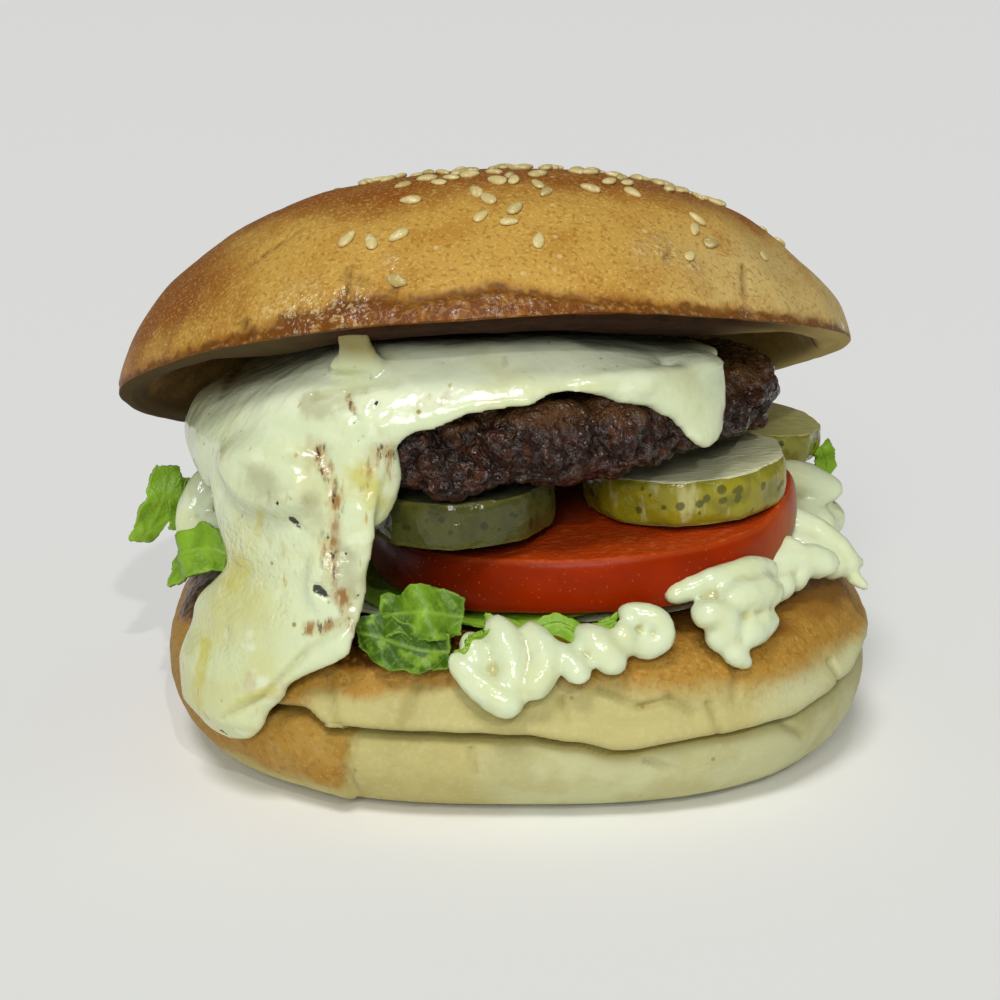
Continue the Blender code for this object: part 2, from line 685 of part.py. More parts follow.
def build():
    clear_scene()
    home = collection("cheeseburger")
    cutters = collection("cutters")
    bread = finish("toasted bun", "#c19d4e", 0.6)
    crumb = finish("steamed heel bun", "#a8a466", 0.7)
    beef = finish("grilled beef", "#3b2217", 0.35)
    melted = finish("melted cheese", "#cfd9b7", 0.3)
    fresh_tomato = finish("tomato", "#8c2c0b", 0.3)
    pickled = finish("pickled gherkin", "#7a6b19", 0.3)
    green = finish("lettuce", "#6a941a", 0.4)
    white_sauce = finish("mayonnaise", "#d1deb3", 0.25)

    heel = shaped_ball("heel_bun", 38, 18, heel_shape, crumb, home)
    patty = shaped_ball("patty", 38, 12, patty_shape, beef, home)
    crown = shaped_ball("crown_bun", 36, 18, crown_shape, bread, home)
    tomato = slab("tomato", TOMATO_CENTRE, TOMATO_RADII, TOMATO_THICKNESS, TOMATO_TILT, 28, 5,
                  fresh_tomato, home)
    pickles = []
    for name, (centre, radius, thickness, pitch, roll) in PICKLES.items():
        pickles.append(slab(name, centre, (radius, radius), thickness, (pitch, roll), 18, 3, pickled, home))

    layer = shaped_ball("lettuce_layer", 24, 8, bed_leaf_shape, green, home)
    leaves = [
        leaf("lettuce_front", ((-23.0, -48.5, 28.5), (-18.0, -50.5, 29.3), (-12.5, -51.0, 29.8),
                               (-8.8, -49.5, 29.2)), 9.5, 0.9, (0.0, 0.45, 0.9), 1, green, home),
        leaf("lettuce_small", ((-8.6, -52.5, 25.4), (-6.8, -53.3, 27.6), (-5.2, -52.8, 29.6)),
             4.5, 0.4, (0.8, 0.5, 0.3), 5, green, home, 6, 3),
        leaf("lettuce_shred", ((-5.0, -50.0, 29.8), (0.0, -51.6, 28.6), (5.0, -50.6, 29.6),
                               (9.0, -51.0, 28.2), (13.5, -49.0, 29.4)), 3.4, 0.5, (0.0, 0.6, 0.8), 6,
             green, home, 12, 3),
        leaf("lettuce_left", ((-51.0, -1.0, 37.5), (-54.5, -2.0, 37.8), (-58.5, -2.0, 35.0),
                              (-61.8, -2.0, 28.2)), 10.0, 0.6, (0.0, 0.8, 0.6), 2, green, home),
        leaf("lettuce_left_low", ((-53.5, -19.0, 28.6), (-51.5, -21.0, 31.5), (-48.0, -22.5, 33.0),
                                  (-44.5, -24.0, 32.5)), 8.0, 0.6, (0.0, 0.6, 0.8), 3, green, home),
        leaf("lettuce_right", ((48.5, 2.0, 35.5), (50.0, 4.0, 38.0), (50.5, 6.0, 40.5),
                               (50.0, 8.0, 42.0)), 5.0, 0.5, (0.6, 0.5, 0.3), 4, green, home, 8, 3),
    ]
    cheese = make_cheese(melted, home)
    mayonnaise = make_mayonnaise(white_sauce, home)
    left_sauce = fuse("mayonnaise_left", strands(LEFT_STRANDS, white_sauce, home), 0.8, white_sauce, home)

    leaves = [cut_clear(piece, [heel, patty, tomato] + pickles, home, cutters) for piece in leaves]
    cheese = cut_clear(cheese, [patty, crown, heel] + pickles + leaves, home, cutters)
    filling = [heel, patty, cheese, tomato, layer] + pickles
    left_sauce = cut_clear(left_sauce, filling + leaves, home, cutters, 2.0 * GAP)
    left_sauce = thin_out(left_sauce, 0.8, 200, home)
    mayonnaise = cut_clear(mayonnaise, filling, home, cutters, 2.0 * GAP)
    mayonnaise = cut_clear(mayonnaise, leaves + [left_sauce], home, cutters, 4.2 * GAP)
    thin_out(mayonnaise, 0.8, 1800, home)


build()
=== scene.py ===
"""Cheeseburger: how it looks, built over the CAD nodes.

The open front faces -Y and the heel bun stands on the floor at the origin.
Lengths are in millimetres until a mesh is filled, which turns them to metres.
Directions are degrees round the vertical axis, 270 being the front.
"""

import random
from math import atan2, cos, degrees, exp, hypot, pi, radians, sin, sqrt, tan

import bmesh
import bpy
from mathutils import Euler, Matrix, Vector, noise
from mathutils.bvhtree import BVHTree


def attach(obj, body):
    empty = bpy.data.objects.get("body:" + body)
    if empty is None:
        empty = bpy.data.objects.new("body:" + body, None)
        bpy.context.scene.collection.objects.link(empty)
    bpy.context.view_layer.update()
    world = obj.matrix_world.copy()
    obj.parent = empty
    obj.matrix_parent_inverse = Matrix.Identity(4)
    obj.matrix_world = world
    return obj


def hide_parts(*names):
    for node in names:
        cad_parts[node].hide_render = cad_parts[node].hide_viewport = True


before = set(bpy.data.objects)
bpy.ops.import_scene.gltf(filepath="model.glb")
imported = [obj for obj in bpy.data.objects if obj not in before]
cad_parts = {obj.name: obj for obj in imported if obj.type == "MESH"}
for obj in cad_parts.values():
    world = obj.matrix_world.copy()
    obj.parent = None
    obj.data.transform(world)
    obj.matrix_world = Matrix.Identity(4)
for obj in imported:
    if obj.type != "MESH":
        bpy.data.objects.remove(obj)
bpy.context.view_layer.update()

MM = 0.001
GAP = 0.4                       # air between neighbouring pieces

# Heel bun
HEEL_RADIUS = 56.0
HEEL_FOOT = 40.5                # radius of the flat it stands on
HEEL_WAIST = 14.0               # height of the widest line
HEEL_SQUARE = 2.4               # superellipse exponent of its outline from above
HEEL_TOP = 26.0
HEEL_TOP_RADIUS = 44.0          # inside this the cut face is pressed down
HEEL_DISH = 1.2
HEEL_RISE = 4.5                 # the cut face climbs towards the back right
HEEL_RISE_ANGLE = 32.0
HEEL_FOOT_END = 0.14            # where along its section the foot ends and the cut face starts
HEEL_TOP_START = 0.84
HEEL_SIDE_CURVE = 0.75          # below 1 makes the side rounder than an ellipse

# Crown bun
CROWN_CENTRE = Vector((-5.2, 0.0, 54.7))
CROWN_PITCH = -19.2             # degrees, lifts the front
CROWN_ROLL = -3.5               # degrees, lifts the right side
CROWN_RADIUS = 58.1
CROWN_HEIGHT = 28.3
CROWN_LIFT = 4.3                # the rim curls up at the back right
CROWN_LIFT_ANGLE = 38.0
CROWN_SHOULDER = 4.13           # superellipse exponents of the dome
CROWN_CURVE = 0.775
CROWN_LIP = 0.7                 # how far the rounded lip hangs under the cut face
CROWN_LIP_WIDTH = 2.2
CROWN_LIP_START = 0.40          # where along its section the lip and the skin start
CROWN_SKIN_START = 0.48
CROWN_DISH = 0.4                # the cut face rises this much to its middle

# Patty
PATTY_CENTRE = Vector((-5.0, -12.0, 54.5))
PATTY_RADII = (44.0, 38.0)
PATTY_THICKNESS = 12.0
PATTY_ROLL = -2.0
PATTY_DROOP = 0.0025            # per mm of the squared distance behind its middle

# Cheese
CHEESE_THICKNESS = 3.0
CHEESE_CLEARANCE = GAP + 0.5    # from the patty to the sheet

# Tomato slice
TOMATO_CENTRE = Vector((9.5, -17.0, 34.9))
TOMATO_RADII = (33.0, 29.5)
TOMATO_THICKNESS = 8.3
TOMATO_TILT = (2.5, -3.0)

# Pickle slices: middle, radius, thickness, pitch and roll
PICKLES = {
    "pickle_front_right": ((25.0, -21.0, 44.2), 15.5, 7.0, 3.0, -3.5),
    "pickle_front_left": ((-9.0, -33.0, 43.2), 14.0, 7.0, 2.0, -2.0),
    "pickle_back_right": ((38.6, 9.5, 44.7), 11.4, 5.2, 4.5, 8.0),
    "pickle_back_left": ((-42.0, 11.0, 40.5), 11.5, 5.0, -2.0, -4.0),
}

# Mayonnaise
BED_RADIUS = 42.0
BED_CLEARANCE = 2.9             # from the bed's top to the tomato
ROPE_RADIUS = 3.0
ROPE_LOOP = 7.5                 # arc length of one piped loop
ROPE_SWING = 4.2

LETTUCE_THICKNESS = 0.7


# ---------------------------------------------------------------- making meshes

def bump(x, y, z, size, seed):
    """Smooth unevenness between about -1 and 1, with features of the given size."""
    return noise.noise(Vector((x, y, z)) / size + Vector((seed * 7.3, seed * 3.1, seed * 5.7)))


def lump(x, y, z, size, seed):
    """0 in the furrows between lumps of the given size, rising to about 1 on top of them."""
    near = noise.voronoi(Vector((x, y, z)) / size + Vector((seed * 3.7, seed * 9.1, seed * 5.3)))[0]
    return min(1.0, near[1] - near[0])


def dome(x, y, z, size, seed):
    """1 on top of round lumps of the given size, 0 in the clefts between them."""
    near = noise.voronoi(Vector((x, y, z)) / size + Vector((seed * 3.7, seed * 9.1, seed * 5.3)))[0][0]
    return sqrt(max(0.0, 1.0 - (near / 0.85) ** 2))


def smooth_max(a, b, width):
    return 0.5 * (a + b + sqrt((a - b) ** 2 + width ** 2))


def smooth_step(x, low, high):
    t = min(1.0, max(0.0, (x - low) / (high - low)))
    return t * t * (3.0 - 2.0 * t)


def bell(x, width):
    return exp(-(x / width) ** 2)


def turn_gap(angle, middle):
    """Degrees between two directions, from -180 to 180."""
    return (angle - middle + 180.0) % 360.0 - 180.0


def direction(point):
    """Degrees round the vertical axis, from 0 to 360."""
    return degrees(atan2(point.y, point.x)) % 360.0


def between(stations, x):
    """Read a smooth curve through (x, value, ...) stations."""
    if x <= stations[0][0]:
        return stations[0][1:]
    for low, high in zip(stations, stations[1:]):
        if x <= high[0]:
            t = smooth_step(x, low[0], high[0])
            return tuple(a + (b - a) * t for a, b in zip(low[1:], high[1:]))
    return stations[-1][1:]


def off_line(x, y, start, end):
    """Distance of a flat point from a line piece, and how far along it the foot lies, 0 to 1."""
    dx, dy = end[0] - start[0], end[1] - start[1]
    along = ((x - start[0]) * dx + (y - start[1]) * dy) / (dx * dx + dy * dy)
    along = min(1.0, max(0.0, along))
    return hypot(x - start[0] - along * dx, y - start[1] - along * dy), along


def scored(x, y, lines):
    """How deep a flat point lies in any of the (start, end, half width) lines, 0 to 1."""
    deepest = 0.0
    for start, end, half_width in lines:
        gap, along = off_line(x, y, start, end)
        deepest = max(deepest, bell(gap, half_width) * (1.0 - 0.5 * along))
    return deepest


def to_object(name, mesh):
    mesh.shade_smooth()
    made = bpy.data.objects.new(name, mesh)
    bpy.context.scene.collection.objects.link(made)
    return made


def shaped_ball(name, segments, rings, shape):
    """A closed ball with its points at shape(longitude, t), t running from foot to top."""
    points = [shape(0.0, 0.0)]
    for ring in range(1, rings):
        points += [shape(2.0 * pi * i / segments - pi, ring / rings) for i in range(segments)]
    points.append(shape(0.0, 1.0))
    top = len(points) - 1
    faces = []
    for i in range(segments):
        beside = (i + 1) % segments
        faces.append((0, 1 + beside, 1 + i))
        for ring in range(rings - 2):
            low = 1 + ring * segments
            faces.append((low + i, low + beside, low + segments + beside, low + segments + i))
        faces.append((top - segments + i, top - segments + beside, top))
    mesh = bpy.data.meshes.new(name)
    mesh.from_pydata([Vector(point) * MM for point in points], [], faces)
    return to_object(name, mesh)


def tube(name, stations, steps_per_mm=1.2):
    """A closed round strand along (x, y, z, radius) stations."""
    spine = [Vector(station[:3]) for station in stations]
    length = sum((b - a).length for a, b in zip(spine, spine[1:]))
    count = max(6, int(length * steps_per_mm))
    curve = bpy.data.curves.new(name, "CURVE")
    curve.dimensions = "3D"
    curve.bevel_depth = MM
    curve.bevel_resolution = 4
    curve.use_fill_caps = True
    spline = curve.splines.new("POLY")
    spline.points.add(count)
    for i, target in enumerate(spline.points):
        place = spine_point(stations, i / count)
        end = min(i, count - i) / (steps_per_mm * place[3])
        target.co = (*(Vector(place[:3]) * MM), 1.0)
        target.radius = place[3] * sqrt(max(0.12, 1.0 - (1.0 - min(1.0, end)) ** 2))
    made = bpy.data.objects.new(name, curve)
    bpy.context.scene.collection.objects.link(made)
    return made


def spine_point(spine, t):
    """A Catmull-Rom curve through points of any size, t from 0 to 1."""
    ends = [2.0 * a - b for a, b in zip(spine[0], spine[1])], [2.0 * a - b for a, b in zip(spine[-1], spine[-2])]
    points = [ends[0]] + [list(point) for point in spine] + [ends[1]]
    spans = len(points) - 3
    place = min(spans - 1e-6, max(0.0, t * spans))
    i = int(place)
    u = place - i
    return [0.5 * (2 * b + (c - a) * u + (2 * a - 5 * b + 4 * c - d) * u * u
                   + (3 * b - a - 3 * c + d) * u ** 3) for a, b, c, d in zip(*points[i:i + 4])]


def plain_mesh(made):
    """The object's mesh with its modifiers applied and its place in the mesh."""
    bpy.context.view_layer.update()
    evaluated = made.evaluated_get(bpy.context.evaluated_depsgraph_get())
    mesh = bpy.data.meshes.new_from_object(evaluated)
    mesh.transform(made.matrix_world)
    return mesh


def settle(made):
    """Replace an object by a plain mesh object of the same name, at the origin."""
    name = made.name
    mesh = plain_mesh(made)
    bpy.data.objects.remove(made, do_unlink=True)
    return to_object(name, mesh)


def joined(name, pieces):
    bm = bmesh.new()
    for piece in pieces:
        bm.from_mesh(plain_mesh(piece))
        bpy.data.objects.remove(piece, do_unlink=True)
    mesh = bpy.data.meshes.new(name)
    bm.to_mesh(mesh)
    bm.free()
    return to_object(name, mesh)


def melted_together(name, pieces, voxel, rounds):
    """One skin over overlapping pieces, softened where they meet."""
    made = joined(name, pieces)
    melt = made.modifiers.new("melt", "REMESH")
    melt.mode = "VOXEL"
    melt.voxel_size = voxel * MM
    soften = made.modifiers.new("soften", "SMOOTH")
    soften.iterations = rounds
    return settle(made)


def relief(made, amount):
    """Move every point out along its normal by amount(point, normal), in mm."""
    mesh = made.data
    normals = [Vector(normal.vector) for normal in mesh.vertex_normals]
    for vert, normal in zip(mesh.vertices, normals):
        vert.co += normal * (amount(vert.co / MM, normal) * MM)
    mesh.update()


def paint(made, **marks):
    """Keep a value from mark(point, normal) at every point, for the materials to read."""
    mesh = made.data
    places = [(vert.co / MM, Vector(normal.vector)) for vert, normal in zip(mesh.vertices, mesh.vertex_normals)]
    for name, mark in marks.items():
        layer = mesh.attributes.new(name, "FLOAT", "POINT")
        layer.data.foreach_set("value", [mark(point, normal) for point, normal in places])


# ---------------------------------------------------------------- materials

def linear(hex_colour):
    channels = [int(hex_colour[i:i + 2], 16) / 255 for i in (1, 3, 5)]
    return [c / 12.92 if c <= 0.04045 else ((c + 0.055) / 1.055) ** 2.4 for c in channels] + [1.0]


def add_node(tree, kind, inputs=None, **settings):
    """Add a node, set its properties, and set or link its inputs by name or number."""
    node = tree.nodes.new(kind)
    for key, value in settings.items():
        setattr(node, key, value)
    for key, value in (inputs or {}).items():
        if isinstance(value, bpy.types.NodeSocket):
            tree.links.new(value, node.inputs[key])
        else:
            node.inputs[key].default_value = value
    return node


class Finish:
    """A material whose colour is laid on in coats, from the piece's own place and marks."""

    def __init__(self, name, colour, roughness, ior, sheen_of_fat=0.0, softness=0.0, soft_colour=None, shine=0.5):
        self.material = bpy.data.materials.new(name)
        self.material.use_nodes = True
        self.tree = self.material.node_tree
        self.shader = self.tree.nodes["Principled BSDF"]
        self.shader.inputs["IOR"].default_value = ior
        self.shader.inputs["Specular IOR Level"].default_value = shine
        self.shader.inputs["Coat Weight"].default_value = sheen_of_fat
        self.shader.inputs["Coat Roughness"].default_value = 0.08
        if softness:
            self.shader.inputs["Subsurface Weight"].default_value = softness
            self.shader.inputs["Subsurface Scale"].default_value = MM
            self.shader.inputs["Subsurface Radius"].default_value = soft_colour
        place = add_node(self.tree, "ShaderNodeTexCoord").outputs["Object"]
        self.place = add_node(self.tree, "ShaderNodeMapping",
                              {"Vector": place, "Scale": (1.0 / MM, 1.0 / MM, 1.0 / MM)}).outputs[0]
        self.colour = linear(colour)
        self.rough = roughness
        self.wetness = None
        self.normal = None

    def mark(self, name):
        return add_node(self.tree, "ShaderNodeAttribute", attribute_name=name).outputs["Fac"]

    def grain(self, size, detail=3.0, stretch=(1.0, 1.0, 1.0), distortion=0.0):
        """Cloudy pattern, 0 to 1, with features of the given size in mm."""
        place = add_node(self.tree, "ShaderNodeMapping", {"Vector": self.place, "Scale": stretch}).outputs[0]
        return add_node(self.tree, "ShaderNodeTexNoise",
                        {"Vector": place, "Scale": 1.0 / size, "Detail": detail,
                         "Distortion": distortion}).outputs["Fac"]

    def spots(self, spacing, size, share):
        """1 in round spots of about the given size, in that share of cells of the given spacing."""
        cells = add_node(self.tree, "ShaderNodeTexVoronoi", {"Vector": self.place, "Scale": 1.0 / spacing})
        pick = add_node(self.tree, "ShaderNodeSeparateColor", {"Color": cells.outputs["Color"]}).outputs[0]
        chosen = add_node(self.tree, "ShaderNodeMath", {0: pick, 1: share}, operation="LESS_THAN").outputs[0]
        reach = size / spacing
        inside = add_node(self.tree, "ShaderNodeMapRange",
                          {"Value": cells.outputs["Distance"], "From Min": reach, "From Max": 0.5 * reach}
                          ).outputs[0]
        return add_node(self.tree, "ShaderNodeMath", {0: chosen, 1: inside}, operation="MULTIPLY").outputs[0]

    def product(self, first, second):
        return add_node(self.tree, "ShaderNodeMath", {0: first, 1: second}, operation="MULTIPLY").outputs[0]

    def ragged(self, mark, size, amount, low=0.4, high=0.6):
        """A mark sharpened between low and high, its edge frayed by the given amount at a size in mm."""
        fray = add_node(self.tree, "ShaderNodeMath", {0: self.grain(size, 4.0), 1: 0.5}, operation="SUBTRACT")
        shift = add_node(self.tree, "ShaderNodeMath", {0: fray.outputs[0], 1: amount, 2: mark},
                         operation="MULTIPLY_ADD")
        return add_node(self.tree, "ShaderNodeMapRange",
                        {"Value": shift.outputs[0], "From Min": low, "From Max": high},
                        interpolation_type="SMOOTHSTEP").outputs[0]

    def ramp(self, value, low, high, to=1.0):
        return add_node(self.tree, "ShaderNodeMapRange",
                        {"Value": value, "From Min": low, "From Max": high, "To Max": to},
                        interpolation_type="SMOOTHSTEP").outputs[0]

    def coat(self, factor, colour, strength=1.0):
        """Lay a colour over what is there, where the factor is high."""
        if strength < 1.0:
            factor = self.product(factor, strength)
        self.colour = add_node(self.tree, "ShaderNodeMix", {0: factor, 6: self.colour, 7: linear(colour)},
                               data_type="RGBA").outputs[2]

    def gloss(self, factor, roughness):
        """Bring the roughness to a value where the factor is high."""
        self.rough = add_node(self.tree, "ShaderNodeMix", {0: factor, 2: self.rough, 3: roughness},
                              data_type="FLOAT").outputs[0]

    def wet(self, factor):
        """A film of fat or juice over the finish, where the factor is high."""
        self.wetness = factor

    def fine_relief(self, height, depth):
        """Unevenness finer than the mesh, depth in mm for a height from 0 to 1."""
        inputs = {"Height": height, "Distance": depth * MM, "Strength": 1.0}
        if self.normal:
            inputs["Normal"] = self.normal
        self.normal = add_node(self.tree, "ShaderNodeBump", inputs).outputs[0]

    def done(self):
        wanted = {"Base Color": self.colour, "Roughness": self.rough, "Coat Weight": self.wetness,
                  "Normal": self.normal, "Coat Normal": self.normal}
        for name, value in wanted.items():
            if isinstance(value, bpy.types.NodeSocket):
                self.tree.links.new(value, self.shader.inputs[name])
            elif value is not None:
                self.shader.inputs[name].default_value = value
        return self.material


def baked_crust():
    """Egg-washed wheat crust, baked: golden, browner on top, finely mottled, half glossy."""
    crust = Finish("baked wheat crust", "#bd9443", 0.45, 1.45, shine=0.16)
    crust.coat(crust.mark("pale"), "#c3ab6c", 0.85)
    crust.coat(crust.ragged(crust.mark("browning"), 3.0, 0.5, 0.05, 0.80), "#864808", 0.95)
    crust.coat(crust.ramp(crust.grain(9.0), 0.50, 0.72), "#a26a1c", 0.5)
    # mottling of the crust, about 0.4 mm, drawn at the size that shows
    crust.coat(crust.ramp(crust.grain(0.5, 2.0), 0.53, 0.66), "#dcbc70", 0.36)
    crust.coat(crust.ramp(crust.grain(0.7, 2.0), 0.46, 0.34), "#7c4c12", 0.42)
    crust.coat(crust.spots(4.2, 0.5, 0.3), "#dcc792", 0.5)
    # painted shade in the cracks
    crust.coat(crust.mark("crack"), "#4e2a0e", 0.85)
    # melted fat soaked in above the rim, with a dark frayed tide line
    crust.coat(crust.ragged(crust.mark("grease"), 2.4, 0.6, 0.12, 0.50), "#8a5614", 0.6)
    crust.coat(crust.ragged(crust.mark("grease"), 1.6, 0.7, 0.34, 0.60), "#5a3006", 0.8)
    crust.coat(crust.ragged(crust.mark("grease"), 2.2, 0.5, 0.56, 0.90), "#6e3a06", 0.85)
    crust.coat(crust.product(crust.mark("grease"), crust.ramp(crust.grain(1.8), 0.45, 0.7)), "#a46c18", 0.5)
    # painted shade on the lip, where the crust turns under the crown
    crust.coat(crust.mark("edge"), "#2c1606", 0.95)
    # the cut face: toasted on the left and nearly raw on the right, darkened all over and in cloudy patches as painted
    # shade
    crust.coat(crust.mark("cut"), "#341b07")
    crust.coat(crust.product(crust.mark("cut"), crust.ramp(crust.grain(3.0), 0.4, 0.7)), "#1a0c03", 0.7)
    crust.coat(crust.product(crust.mark("cut"), crust.mark("untoasted")), "#b09a60", 0.95)
    # painted glints: pale specks in the glazed places
    crust.coat(crust.product(crust.mark("wet"), crust.ramp(crust.grain(0.8), 0.52, 0.62)), "#e0c890", 0.6)
    crust.gloss(crust.mark("cut"), 1.0)
    crust.wet(crust.ragged(crust.mark("wet"), 1.4, 0.9, 0.20, 0.50))
    crust.fine_relief(crust.grain(0.45, 3.0), 0.10)
    crust.fine_relief(crust.product(crust.mark("wet"), crust.grain(0.9, 2.0)), 0.5)
    return crust.done()


def steamed_crumb():
    """Pale steamed heel crust, baked against its neighbours: matt, its rim toasted on the griddle."""
    crumb = Finish("steamed bun side", "#b7ad70", 0.62, 1.42, shine=0.25)
    # pale dough; at the right end also painted light, where the lamps leave it in shade
    crumb.coat(crumb.ragged(crumb.mark("pale"), 4.0, 0.4, 0.1, 0.9), "#c0c194", 0.9)
    crumb.coat(crumb.ramp(crumb.grain(8.0), 0.42, 0.66), "#aa9f62", 0.5)
    crumb.coat(crumb.ramp(crumb.grain(0.9, 3.0), 0.50, 0.66), "#c6c39a", 0.2)
    crumb.coat(crumb.ragged(crumb.mark("gold"), 2.2, 0.55, 0.10, 0.90), "#a2741e", 0.9)
    crumb.coat(crumb.product(crumb.mark("gold"), crumb.ramp(crumb.grain(0.7, 3.0), 0.52, 0.66)), "#bd9a50", 0.5)
    crumb.coat(crumb.product(crumb.mark("gold"), crumb.ramp(crumb.grain(1.0, 3.0), 0.47, 0.36)), "#835420", 0.45)
    # painted shade in the long fold and the wrinkles
    crumb.coat(crumb.mark("fold"), "#85793a", 0.75)
    crumb.coat(crumb.ragged(crumb.mark("toast"), 1.0, 0.5, 0.30, 0.75), "#8a5a1a", 0.95)
    crumb.coat(crumb.ragged(crumb.mark("toast"), 0.9, 0.6, 0.66, 0.97), "#46280a", 0.9)
    crumb.coat(crumb.product(crumb.mark("toast"), crumb.ramp(crumb.grain(1.3), 0.52, 0.68)), "#a06c24", 0.6)
    crumb.coat(crumb.spots(3.4, 0.45, 0.10), "#8d6b2c", 0.6)
    crumb.gloss(crumb.ragged(crumb.mark("toast"), 1.0, 0.8, 0.3, 0.8), 0.28)
    crumb.fine_relief(crumb.grain(0.55, 4.0), 0.10)
    crumb.fine_relief(crumb.product(crumb.mark("toast"), crumb.grain(0.8, 3.0)), 0.35)
    return crumb.done()


def grilled_beef():
    """Coarse minced beef, grilled: near black on its crumbs, brown between, wet with fat, with painted shade in the
    furrows between its lumps.
    """
    beef = Finish("grilled minced beef", "#24120a", 0.5, 1.45, shine=0.2)
    beef.coat(beef.ramp(beef.grain(5.0), 0.46, 0.66), "#3c1c0e", 0.8)
    beef.coat(beef.ramp(beef.grain(1.9, 3.0), 0.54, 0.70), "#582f14", 0.55)
    beef.coat(beef.ragged(beef.mark("browned"), 2.0, 0.8, 0.40, 0.85), "#5a3a18", 0.55)
    beef.coat(beef.ramp(beef.grain(2.4, 3.0), 0.60, 0.74), "#351412", 0.5)
    beef.coat(beef.spots(1.6, 0.35, 0.14), "#8a6840", 0.4)
    # painted shade: near black in the clefts between the lumps
    beef.coat(beef.mark("furrow"), "#0b0502", 0.85)
    # beads of fat, about half a millimetre, are what sparkles
    beef.wet(beef.ramp(beef.grain(1.2), 0.44, 0.58))
    beef.fine_relief(beef.grain(1.3, 2.0), 1.2)
    beef.fine_relief(beef.grain(0.6, 2.0), 0.5)
    return beef.done()


def melted_cheese():
    """Pale processed cheese, melted and set: smooth, wet with fat, flecked off the griddle."""
    cheese = Finish("melted cheese", "#d0dab2", 0.26, 1.46, 0.25, 0.10, (2.2, 2.0, 1.0), shine=0.45)
    flow = (1.0, 1.0, 0.25)
    cheese.coat(cheese.mark("thin"), "#c0bd70", 0.75)
    # painted light: the top of the sheet paler where it faces up
    cheese.coat(cheese.mark("level"), "#e6edcc", 0.8)
    cheese.coat(cheese.ramp(cheese.grain(9.0), 0.46, 0.68), "#cdcc8e", 0.5)
    cheese.coat(cheese.ramp(cheese.grain(4.5, 4.0), 0.56, 0.72), "#dfe8ca", 0.6)
    # faint brown smears and flecks drawn out along the way it ran
    cheese.coat(cheese.ramp(cheese.grain(6.0, 3.0, (1.0, 1.0, 0.5)), 0.58, 0.70), "#b39f74", 0.45)
    cheese.coat(cheese.ramp(cheese.grain(1.3, 3.0, flow), 0.66, 0.76), "#b0903e", 0.7)
    cheese.coat(cheese.ragged(cheese.mark("shade"), 2.5, 1.2, 0.2, 0.9), "#a09c74", 0.6)
    cheese.coat(cheese.ragged(cheese.mark("yellow"), 1.6, 1.0, 0.2, 0.9), "#beb426", 0.6)
    # painted shade along the folds and the edge of the second layer
    cheese.coat(cheese.mark("fold"), "#a5a25c", 0.45)
    # painted shade on the string up to the crown
    cheese.coat(cheese.mark("stretched"), "#7c6a28", 0.9)
    soiled = cheese.ragged(cheese.mark("char"), 2.0, 1.0, 0.25, 1.0)
    cheese.coat(soiled, "#b09858", 0.55)
    cheese.coat(cheese.product(soiled, cheese.ramp(cheese.grain(1.1, 3.0, flow), 0.44, 0.60)), "#8a540c", 0.85)
    cheese.coat(cheese.product(soiled, cheese.ramp(cheese.grain(0.8, 3.0, flow), 0.57, 0.64)), "#2c1406", 0.95)
    # painted shade in the pits
    cheese.coat(cheese.ragged(cheese.mark("pit"), 0.7, 0.3, 0.4, 0.6), "#1d140c", 0.95)
    # pepper-sized flecks of griddle char, 0.3 to 0.5 mm
    cheese.coat(cheese.spots(3.6, 0.45, 0.30), "#8a6a2a", 0.8)
    cheese.coat(cheese.spots(5.5, 0.45, 0.30), "#3a200f", 0.9)
    cheese.gloss(cheese.ramp(cheese.grain(6.0), 0.4, 0.6), 0.16)
    cheese.fine_relief(cheese.grain(3.0, 2.0), 0.3)
    cheese.fine_relief(cheese.product(cheese.mark("crinkle"), cheese.grain(0.75, 3.0)), 0.45)
    return cheese.done()


def tomato_slice():
    """Ripe tomato, cut: taut glossy skin round its side, watery flesh on its faces."""
    tomato = Finish("ripe tomato", "#942600", 0.3, 1.38, 0.0, 0.04, (2.4, 0.7, 0.3), shine=0.12)
    tomato.coat(tomato.ramp(tomato.grain(11.0), 0.42, 0.64), "#7e2000", 0.7)
    tomato.coat(tomato.mark("flesh"), "#b03c0c", 0.95)
    tomato.coat(tomato.product(tomato.mark("flesh"), tomato.ramp(tomato.grain(1.8, 4.0), 0.5, 0.7)), "#c8683a", 0.4)
    tomato.coat(tomato.mark("rind"), "#a04018", 0.7)
    # painted light: the right end of the skin made paler
    tomato.coat(tomato.mark("light"), "#b0541c", 0.85)
    # painted shadow over the left front of the slice
    tomato.coat(tomato.mark("deep"), "#3a0e03", 0.85)
    # pale dots under the skin, about 0.2 mm, drawn at the size that shows
    tomato.coat(tomato.spots(0.75, 0.15, 0.5), "#b86a30", 0.5)
    tomato.gloss(tomato.mark("flesh"), 0.3)
    tomato.fine_relief(tomato.grain(2.6, 3.0), 0.12)
    tomato.fine_relief(tomato.product(tomato.mark("flesh"), tomato.grain(0.9, 3.0)), 0.3)
    return tomato.done()


